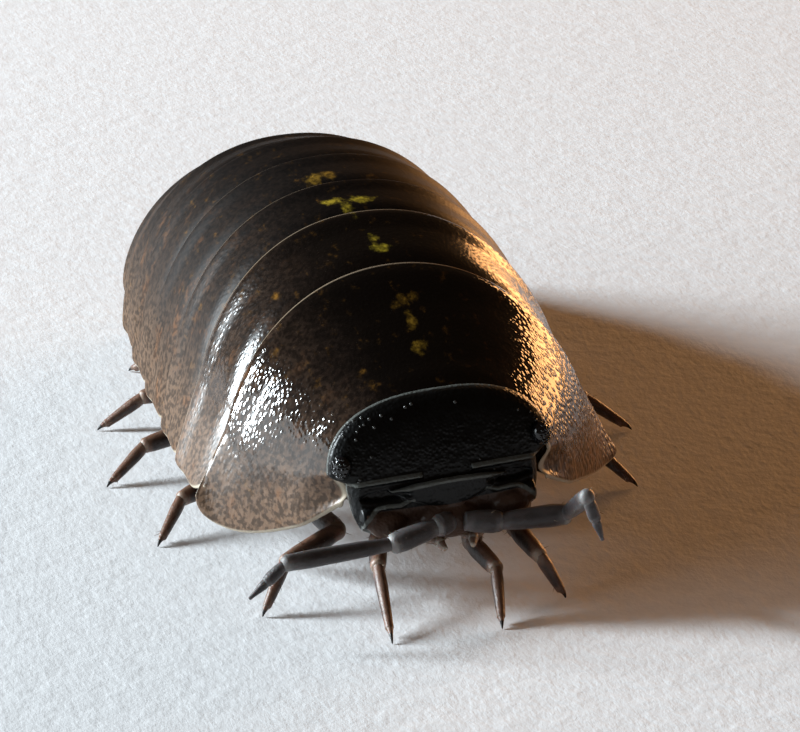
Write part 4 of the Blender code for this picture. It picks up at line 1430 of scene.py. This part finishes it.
class Growth(Tree):
    """A Geometry Nodes tree that sets one small shape on points of a host mesh."""

    def __init__(self, name: str, sizes: Sequence[str], scattered: bool) -> None:
        """Starts the tree.

        Args:
            name: The tree's name.
            sizes: The names of its inputs that are plain numbers.
            scattered: Whether points are scattered over the host's faces, or its own points used.
        """
        super().__init__(bpy.data.node_groups.new(name, "GeometryNodeTree"))
        face = self.tree.interface
        face.new_socket("Host", in_out="INPUT", socket_type="NodeSocketGeometry")
        self.sockets: dict[str, str] = {}
        kinds = dict.fromkeys(sizes, "Float") | {"Seed": "Int", "Finish": "Material"}
        for label, kind in kinds.items():
            socket = face.new_socket(label, in_out="INPUT", socket_type=f"NodeSocket{kind}")
            self.sockets[label] = socket.identifier
        face.new_socket("Grown", in_out="OUTPUT", socket_type="NodeSocketGeometry")
        self.inlet = self.node("NodeGroupInput", output="Host")
        self.scattered = scattered

    def points(self) -> Value:
        """Where the shapes are set."""
        if not self.scattered:
            return self.node("GeometryNodeMeshToPoints", {0: self.inlet})
        thick = self.node("GeometryNodeInputNamedAttribute", {"Name": "thick"}, {"data_type": "FLOAT"})
        density = self.inlet.output("Density") * thick
        inputs = {"Mesh": self.inlet, "Density": density, "Seed": self.inlet.output("Seed")}
        return self.node("GeometryNodeDistributePointsOnFaces", inputs, output="Points")

    def finish(self, shape: Value, squash: float = 1.0) -> None:
        """Sets a shape on the points, turned along the host's facing, and ends the tree.

        Args:
            shape: The shape, which stands on the floor and points up.
            squash: How flat it is made.
        """
        vector, number = {"data_type": "FLOAT_VECTOR"}, {"data_type": "FLOAT"}
        facing = self.node("GeometryNodeInputNamedAttribute", {"Name": "facing"}, vector)
        turned = self.node("FunctionNodeAlignRotationToVector", {"Vector": facing}, {"axis": "Z"})
        span = {2: self.inlet.output("Smallest"), 3: 1.0, "Seed": self.inlet.output("Seed")}
        size = self.node("FunctionNodeRandomValue", span, number, output=1)
        scale = self.node("ShaderNodeCombineXYZ", {0: size, 1: size, 2: size * squash})
        inputs = {"Points": self.points(), "Instance": shape, "Rotation": turned, "Scale": scale}
        placed = self.node("GeometryNodeInstanceOnPoints", inputs)
        real = self.node("GeometryNodeRealizeInstances", {0: placed})
        dressed = self.node("GeometryNodeSetMaterial", {0: real, "Material": self.inlet.output("Finish")})
        smooth = self.node("GeometryNodeSetShadeSmooth", {0: dressed})
        self.node("NodeGroupOutput", {0: smooth})

    def grow(
        self, host: bpy.types.Object, name: str, finish: bpy.types.Material, **sizes: float
    ) -> bpy.types.Object:
        """Grows the shapes on a host in millimetres, which is used up.

        Args:
            host: The host mesh.
            name: The name of the piece.
            finish: Its material.
            sizes: The tree's named inputs.

        Returns:
            The shapes as one plain object in metres.
        """
        modifier = host.modifiers.new(name, "NODES")
        modifier.node_group = self.tree
        for size, value in sizes.items():
            modifier[self.sockets[size]] = value
        modifier[self.sockets["Finish"]] = finish
        grown = evaluated(host, name)
        for layer in [a.name for a in grown.data.attributes if a.name in ("facing", "thick")]:
            grown.data.attributes.remove(grown.data.attributes[layer])
        return grown


def bristle_growth() -> Growth:
    """A tree that grows tapered bristles over a host."""
    growth = Growth("bristles", ("Density", "Length", "Radius", "Smallest"), True)
    inputs = {
        "Vertices": 4,
        "Side Segments": 2,
        "Radius Top": BRISTLE_TIP,
        "Radius Bottom": growth.inlet.output("Radius"),
        "Depth": growth.inlet.output("Length"),
    }
    growth.finish(growth.node("GeometryNodeMeshCone", inputs))
    return growth


def dome_growth(name: str, squash: float) -> Growth:
    """A tree that sets small flattened domes on the points of a host."""
    growth = Growth(name, ("Radius", "Smallest"), False)
    inputs = {"Segments": 12, "Rings": 7, "Radius": growth.inlet.output("Radius")}
    growth.finish(growth.node("GeometryNodeMeshUVSphere", inputs), squash)
    return growth


def host_of_points(points: Array, facing: Array) -> bpy.types.Object:
    """A host mesh of bare points, each with the direction that its shape faces."""
    mesh = bpy.data.meshes.new("points")
    mesh.from_pydata(points, [], [])
    write_values(mesh, "facing", facing)
    return added("points", mesh)


@dataclass
class Eyes:
    """The two eyes, each a dark cushion with a cluster of about twenty round lenses."""

    head: Head
    rows: Sequence[int] = (4, 5, 6, 5, 4)
    pitch: float = 27.0
    gaze: Triple = (0.80, -0.60, 0.10)
    lens: float = 0.033
    bedding: float = 0.92

    def lenses(self, side: Side) -> tuple[Array, Array]:
        """Places and directions of the lenses of an eye."""
        size = np.array(self.head.eye_size) * self.bedding
        out = unit(side.of(self.gaze))
        across = unit(np.cross(out, [0, 0, 1]))
        up = np.cross(across, out)
        rays = []
        for row, count in enumerate(self.rows):
            tilt = math.radians((row - (len(self.rows) - 1) / 2) * self.pitch)
            for k in range(count):
                turn = math.radians((k - (count - 1) / 2) * self.pitch)
                level = out * math.cos(turn) + across * math.sin(turn)
                rays.append(level * math.cos(tilt) + up * math.sin(tilt))
        rays = np.array(rays)
        return self.head.carried(self.head.eye(side) + rays * size), rays

    def build(self, wardrobe: Wardrobe) -> None:
        """Makes and settles both eyes."""
        growth = dome_growth("lenses", 0.85)
        for side in Side:
            name = f"eye_{side.word}"
            host = host_of_points(*self.lenses(side))
            sizes = {"Radius": self.lens, "Seed": 4, "Smallest": 0.85}
            lenses = growth.grow(host, f"{name}_lenses", wardrobe.eye, **sizes)
            cushion = ball(self.head.eye(side), np.array(self.head.eye_size) * self.bedding)
            form = Form(name)
            form.loft(self.head.carried(cushion))
            settle(form.to_object([wardrobe.eye]), "eye", name)
            settle(lenses, "eye")


@dataclass(frozen=True)
class Link:
    """One article of a limb: its radii, depth of colour, paleness of its far end, bow and flatness."""

    near: float
    far: float
    deep: float
    pale: float = 0.8
    bend: float = 0.0
    flatness: float = 0.9


@dataclass
class Limb:
    """A jointed limb: a chain of articles, each narrow at its start and collared at its end.

    The dome closes an article: how far each of its rings lies beyond the end, and its radius, both
    as shares of the article's end radius.
    """

    name: str
    joints: Sequence[Sequence[float]]
    links: Sequence[Link]
    claw: bool = False
    dome: Sequence[tuple[float, float]] = ((0.18, 0.82), (0.34, 0.66), (0.46, 0.44), (0.52, 0.18))
    around: int = 20
    stations: int = 26

    def article(self, form: Form, start: Array, end: Array, link: Link, last: bool) -> None:
        """Adds one article to the form.

        Args:
            form: The form of the limb.
            start: The joint that it starts at.
            end: The joint that it ends at.
            link: Its sizes and colours.
            last: Whether it is the limb's last article.
        """
        run = end - start
        length = float(np.linalg.norm(run))
        along = run / length
        across = np.cross(along, [0.0, 0.0, 1.0])
        if np.linalg.norm(across) < UPRIGHT:
            across = np.cross(along, [1.0, 0.0, 0.0])
        across = unit(across)
        up = np.cross(across, along)
        neck = min(0.35 * link.near / length, 0.2)
        share = np.concatenate([[-neck, -neck * 0.6], np.linspace(0.0, 1.0, self.stations)])
        radius = link.near + (link.far - link.near) * ease(share, 0.0, 1.0)
        shape = 0.84 + 0.16 * ease(share, -neck, 0.35)
        if last and self.claw:
            radius = link.near + (link.far - link.near) * share.clip(0, 1) ** 0.8
            shape = 1 - 0.4 * ease(share, 0.9, 1.0)
        else:
            shape *= 1 - 0.10 * ease(share, 0.75, 1.0)
            lead, width = np.array(self.dome).T
            share = np.concatenate([share, 1 + lead * link.far / length])
            radius = np.concatenate([radius, np.full(len(lead), link.far)])
            shape = np.concatenate([shape, width])
        shape[0] *= 0.5
        bow = link.bend * length * np.sin(np.pi * share.clip(0, 1))
        centre = start + share[:, None] * run + bow[:, None] * up
        turn = circle(self.around)
        rays = across * np.cos(turn)[:, None] * link.flatness + up * np.sin(turn)[:, None]
        rings = centre[:, None] + rays[None] * (radius * shape)[:, None, None]
        band = np.zeros(rings.shape)
        middle = ease(share, 0.02, 0.30) * (1 - ease(share, 0.80, 0.97))
        # Painted shade and light: the sides that face across darken most while the top and bottom edges
        # stay light, a painted dark core with lit edges standing for translucent horn.
        sides = 0.12 + 0.88 * np.cos(turn) ** 2
        band[..., 0] = link.deep * (0.25 + 0.75 * middle)[:, None] * sides
        collar = ease(share, 0.88, 1.0) * 0.75 + ease(share, 0.06, -0.04) * 0.35
        band[..., 1] = (link.pale * np.clip(collar, 0.0, 1.0))[:, None]
        if last and self.claw:
            band[..., 1] = 0.0
            band[..., 2] = ease(share, 0.25, 0.7)[:, None]
        facing = rays[None] * 0.8 + along * 0.75 + 0 * rings
        thick = (0.25 + ease(share, 0.55, 0.95) * 0.75)[:, None, None] * np.ones(rings.shape)
        form.loft(rings, Cap.FAN, {"band": band, "facing": facing, "thick": thick})

    def form(self) -> Form:
        """The whole limb."""
        made = Form(self.name)
        points = np.asarray(self.joints, float)
        for number, (start, end, link) in enumerate(zip(points, points[1:], self.links)):
            self.article(made, start, end, link, number == len(self.links) - 1)
        return made


@dataclass
class Feelers:
    """The two feelers: jointed stalks and two-part lashes."""

    right: Sequence[Triple] = (
        (-0.14, -6.84, 1.42), (-0.36, -6.92, 1.40), (-1.10, -7.00, 1.24), (-2.92, -7.34, 1.32)
    )
    left: Sequence[Triple] = (
        (0.14, -6.84, 1.38), (0.64, -6.92, 1.34), (1.70, -7.06, 1.38), (1.61, -8.40, 2.26)
    )
    right_tip: Triple = (-3.53, -7.44, 0.86)
    left_tip: Triple = (1.82, -8.50, 1.55)
    lash_joint: float = 0.52
    lash_gap: float = 0.06
    stalk: Sequence[Link] = (
        Link(0.18, 0.19, 0.7, 0.5), Link(0.16, 0.19, 0.85, 0.8), Link(0.130, 0.150, 0.9, 0.6)
    )
    lash: Sequence[Link] = (Link(0.10, 0.105, 0.8, 0.3), Link(0.085, 0.035, 0.9, 0.0))

    def limbs(self) -> list[Limb]:
        """The four pieces."""
        found = []
        right, left = (self.right, self.right_tip), (self.left, self.left_tip)
        for side, (joints, tip) in ((Side.RIGHT, right), (Side.LEFT, left)):
            end, last = np.array(joints[-1]), np.array(tip)
            found.append(Limb(f"antenna_{side.word}", joints, self.stalk))
            start = end + unit(last - end) * self.lash_gap
            middle = end + (last - end) * self.lash_joint
            found.append(Limb(f"flagellum_{side.word}", (start, middle, last), self.lash))
        return found


@dataclass
class Legs:
    """The fourteen legs, front to rear."""

    right_feet: Sequence[tuple[float, float]] = (
        (-1.42, -7.97), (-3.10, -6.42), (-4.10, -3.35), (-4.40, -0.75),
        (-4.05, 1.70), (-2.95, 4.20), (-2.30, 6.10),
    )
    left_feet: Sequence[tuple[float, float]] = (
        (0.35, -7.99), (1.63, -7.24), (4.11, -3.51), (4.80, -1.19),
        (4.40, 1.30), (4.00, 3.95), (3.20, 6.30),
    )
    root_x: Sequence[float] = (1.50, 1.80, 1.85, 1.85, 1.85, 1.80, 1.65)
    root_y: Sequence[float] = (-5.00, -2.95, -1.25, 0.30, 1.75, 3.10, 4.45)
    root_z: float = 1.54
    knee_in: float = 0.75
    knee_z: float = 0.98
    ankle_run: float = 0.85
    ankle_z: float = 0.52
    knee_share: float = 0.42
    knee_lift: float = 0.06
    wrist_share: float = 0.70
    wrist_sink: float = 0.05
    claw_share: float = 0.80
    fan_out: float = 1.2
    hip_swing: float = 0.12
    tip_z: float = 0.012
    links: Sequence[Link] = (
        Link(0.17, 0.205, 0.45, 0.4),
        Link(0.18, 0.200, 0.60, 0.6),
        Link(0.18, 0.190, 0.95, 0.6),
        Link(0.17, 0.150, 1.00, 0.7),
        Link(0.120, 0.085, 0.70, 0.35),
        Link(0.070, 0.012, 0.40, 0.0, 0.10),
    )

    def front_joints(self) -> dict[tuple[Side, int], tuple[Triple, ...]]:
        """Knee, wrist and ankle of the legs that reach forward under the head."""
        return {
            (Side.RIGHT, 1): ((-0.86, -5.50, 0.84), (-1.10, -6.02, 0.78), (-1.27, -6.65, 0.72)),
            (Side.RIGHT, 2): ((-1.75, -4.50, 0.82), (-1.60, -5.42, 0.84), (-2.62, -6.05, 0.72)),
            (Side.LEFT, 1): ((0.62, -5.55, 0.76), (0.44, -6.05, 0.62), (0.53, -7.10, 0.62)),
            (Side.LEFT, 2): ((1.78, -4.60, 0.78), (1.18, -6.05, 0.76), (1.28, -7.02, 0.70)),
        }

    def joints(self, side: Side, number: int, place: tuple[float, float]) -> list[Array]:
        """The seven joints of a leg, from its hip to the tip of its claw.

        Args:
            side: Its side of the animal.
            number: Its number from the front.
            place: Where its foot stands.

        Returns:
            The joints.
        """
        x, y = self.root_x[number - 1], self.root_y[number - 1]
        root = side.of((x, y, self.root_z))
        foot = np.array([*place, self.tip_z])
        inward = side.of((x - self.knee_in, y, self.knee_z))
        front = self.front_joints().get((side, number))
        if front:
            knee, wrist, ankle = (np.array(joint) for joint in front)
            inward[1] += (knee[1] - y) * self.hip_swing
        else:
            reach = unit([foot[0] - root[0], (foot[1] - root[1]) * self.fan_out, 0.0])
            ankle = foot - reach * self.ankle_run
            ankle[2] = self.ankle_z
            inward[1] += (ankle[1] - y) * self.hip_swing
            knee = inward + (ankle - inward) * self.knee_share + [0, 0, self.knee_lift]
            wrist = inward + (ankle - inward) * self.wrist_share - [0, 0, self.wrist_sink]
        claw = ankle + (foot - ankle) * self.claw_share
        return [root, inward, knee, wrist, ankle, claw, foot]

    def limbs(self) -> list[Limb]:
        """All fourteen legs."""
        found = []
        for side, feet in ((Side.RIGHT, self.right_feet), (Side.LEFT, self.left_feet)):
            for number, place in enumerate(feet, 1):
                joints = self.joints(side, number, place)
                found.append(Limb(f"leg_{side.word}_{number}", joints, self.links, claw=True))
        return found


@dataclass
class Mouth:
    """The leaf-like pair of mouthparts that closes the head from below, each with its palp."""

    half: float = 0.31
    y: float = -6.36
    z: float = 1.05
    size: Triple = (0.25, 0.38, 0.13)
    palp_root: Triple = (0.0, -0.24, 0.0)
    palp_tip: Triple = (-0.08, -0.50, -0.08)
    links: Sequence[Link] = (Link(0.10, 0.10, 0.4), Link(0.08, 0.055, 0.3))

    def form(self, side: Side) -> Form:
        """One mouthpart."""
        root = side.of((self.half, self.y, self.z))
        start, tip = root + self.palp_root, root + side.of(self.palp_tip)
        middle = start + (tip - start) * 0.5
        made = Limb(f"maxilliped_{side.word}", (start, middle, tip), self.links).form()
        rings = ball(root, self.size)
        band = np.zeros(rings.shape)
        band[..., 0] = 0.45
        flat = {"band": band, "facing": rings - root, "thick": np.full(rings.shape, 0.1)}
        made.loft(rings, Cap.FAN, flat)
        return made


@dataclass
class Pleopods:
    """The two rows of overlapping breathing plates under the tail."""

    count: int = 5
    y: float = 5.10
    pitch: float = 0.35
    overlap: float = 1.12
    half: float = 1.25
    top: float = 1.44
    thick: float = 0.16
    drop: float = 0.12
    bow: float = 0.10
    narrowing: float = 0.11
    middle_gap: float = 0.06
    lungs: int = 2

    def form(self, side: Side) -> Form:
        """One row of plates, the first of which hold pale lungs."""
        made = Form(f"pleopods_{side.word}")
        uu, vv = np.meshgrid(bunched(25), bunched(13))
        for k in range(self.count):
            half = self.half * (1 - self.narrowing * k)
            x = side.value * (self.middle_gap + half * uu)
            y = self.y + self.pitch * (k + vv * self.overlap) + self.bow * (1 - uu**2) * vv
            swell = np.sqrt(np.sin(np.pi * uu).clip(0, 1)) * np.sqrt(np.sin(np.pi * vv).clip(0, 1))
            low = self.top - 0.05 - self.drop * vv * (1 - 0.5 * uu**2) - self.thick * 0.62 * swell
            high = low + 0.02 + 0.06 * swell
            rings = wrapped(triples(x, y, low), triples(x, y, high))
            lung = np.exp(-(((uu - 0.55) / 0.28) ** 2) - ((vv - 0.5) / 0.3) ** 2)
            pale = wrapped(lung, lung) * (k < self.lungs)
            band = triples(0.25 + 0.2 * (1 - pale), pale, 0 * pale)
            made.loft(rings, Cap.STRIP, {"band": band})
        return made


@dataclass
class Appendages:
    """Every limb of the animal and the bristles on them."""

    feelers: Feelers = field(default_factory=Feelers)
    legs: Legs = field(default_factory=Legs)
    mouth: Mouth = field(default_factory=Mouth)
    pleopods: Pleopods = field(default_factory=Pleopods)

    def build(self, wardrobe: Wardrobe) -> None:
        """Makes and settles the limbs, then their bristles."""
        growth = bristle_growth()
        feelers = [limb.form() for limb in self.feelers.limbs()]
        legs = [limb.form() for limb in self.legs.limbs()]
        mouths = [self.mouth.form(side) for side in Side]
        for forms, finish, slot in (
            (feelers, wardrobe.feeler, "feeler"),
            (legs, wardrobe.limb, "limb"),
            (mouths, wardrobe.mouth, "mouth"),
            ([self.pleopods.form(side) for side in Side], wardrobe.mouth, "mouth"),
        ):
            for form in forms:
                settle(form.to_object([finish]), slot, form.name)
        for forms, name, slot, density, length in (
            (feelers, "feeler_bristles", "feeler", 26.0, 0.09),
            (legs, "leg_bristles", "limb", 16.0, 0.13),
            (mouths, "mouth_bristles", "mouth", 60.0, 0.08),
        ):
            host = self.host(forms)
            sizes = {"Density": density, "Length": length, "Radius": 0.007, "Smallest": 0.4, "Seed": 7}
            settle(growth.grow(host, name, wardrobe.bristle, **sizes), slot)

    @staticmethod
    def host(forms: Sequence[Form]) -> bpy.types.Object:
        """One host mesh in millimetres from several forms, without their colours."""
        whole = Form("host")
        for form in forms:
            faces = [[i + whole.count for i in face] for face in form.faces]
            values = {name: np.vstack(form.values[name]) for name in ("facing", "thick")}
            whole.add(np.vstack(form.points), faces, form.slots, values)
        host = whole.to_object([], 1.0)
        thick = host.data.attributes["thick"]
        numbers = np.empty(len(host.data.vertices) * 3, np.float32)
        thick.data.foreach_get("vector", numbers)
        host.data.attributes.remove(thick)
        layer = host.data.attributes.new("thick", "FLOAT", "POINT")
        layer.data.foreach_set("value", numbers[::3].copy())
        return host


@dataclass(frozen=True)
class Lamp:
    """A soft light: the direction that it stands in, its distance and sizes in mm, power, colour."""

    name: str
    azimuth: float
    elevation: float
    distance: float
    width: float
    height: float
    power: float
    colour: Triple

    def place(self, target: Vector) -> None:
        """Sets the lamp up, facing a place in metres."""
        away = bearing(self.azimuth, self.elevation)
        light = bpy.data.lights.new(self.name, "AREA")
        light.shape = "RECTANGLE"
        light.size, light.size_y = self.width * MM, self.height * MM
        light.energy = self.power
        light.color = self.colour
        made = added(self.name, light)
        made.location = target + away * self.distance * MM
        made.rotation_euler = away.to_track_quat("Z", "Y").to_euler()


@dataclass
class Studio:
    """The camera of the photograph, soft lights and a sheet of white paper."""

    azimuth: float = -15.369
    elevation: float = 22.318
    distance: float = 67.269
    roll: float = -1.160
    target: Triple = (0.47682, -1.83610, 2.01480)
    focal_pixels: float = 4017.936
    paper_half: float = 400.0
    paper_drop: float = 0.004
    lamps: Sequence[Lamp] = (
        Lamp("window", -116.0, 19.0, 200.0, 20.0, 86.0, 1.00, (0.84, 0.94, 1.0)),
        Lamp("sill", -94.0, 13.0, 200.0, 170.0, 84.0, 0.20, (0.84, 0.94, 1.0)),
        Lamp("warm_wall", 124.0, 8.0, 200.0, 130.0, 50.0, 0.33, (1.0, 0.47, 0.17)),
    )
    world: Triple = (0.056, 0.034, 0.019)

    def camera(self) -> None:
        """Sets the camera up."""
        r = math.radians(self.roll)
        back = bearing(self.azimuth, self.elevation)
        right = Vector((0, 0, 1)).cross(back).normalized()
        up = back.cross(right)
        right, up = right * math.cos(r) + up * math.sin(r), up * math.cos(r) - right * math.sin(r)
        data = bpy.data.cameras.new("camera")
        data.sensor_width = SENSOR_WIDTH
        data.lens = self.focal_pixels / IMAGE_WIDTH * SENSOR_WIDTH
        data.clip_start, data.clip_end = NEAREST, FURTHEST
        made = added("camera", data)
        place = (Vector(self.target) + back * self.distance) * MM
        turned = Matrix((right, up, back)).transposed()
        made.matrix_world = Matrix.Translation(place) @ turned.to_4x4()
        bpy.context.scene.camera = made

    def paper(self) -> None:
        """Lays the sheet of paper."""
        mesh = bpy.data.meshes.new("paper")
        half, z = self.paper_half * MM, -self.paper_drop * MM
        corners = [(-half, -half, z), (half, -half, z), (half, half, z), (-half, half, z)]
        mesh.from_pydata(corners, [], [(0, 1, 2, 3)])
        mesh.materials.append(PaperFinish().material())
        made = added("paper", mesh)

    def build(self) -> None:
        """Sets up the camera, the lights, the world and the paper."""
        self.camera()
        for lamp in self.lamps:
            lamp.place(Vector(self.target) * MM)
        world = bpy.data.worlds.new("room")
        world.use_nodes = True
        world.node_tree.nodes["Background"].inputs["Color"].default_value = (*self.world, 1.0)
        scene = bpy.context.scene
        scene.world = world
        scene.view_settings.view_transform = "Standard"
        self.paper()


def main() -> None:
    """Builds the animal and its studio."""
    logging.basicConfig(level=logging.INFO, format="%(name)s %(message)s")
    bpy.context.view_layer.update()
    wardrobe = Wardrobe()
    Studio().build()
    trunk = Trunk()
    trunk.build(wardrobe)
    Tail(trunk.outline, trunk.tail_y).build(wardrobe)
    head = Head()
    head.build(wardrobe)
    Eyes(head).build(wardrobe)
    Appendages().build(wardrobe)


if __name__ == "__main__":
    main()
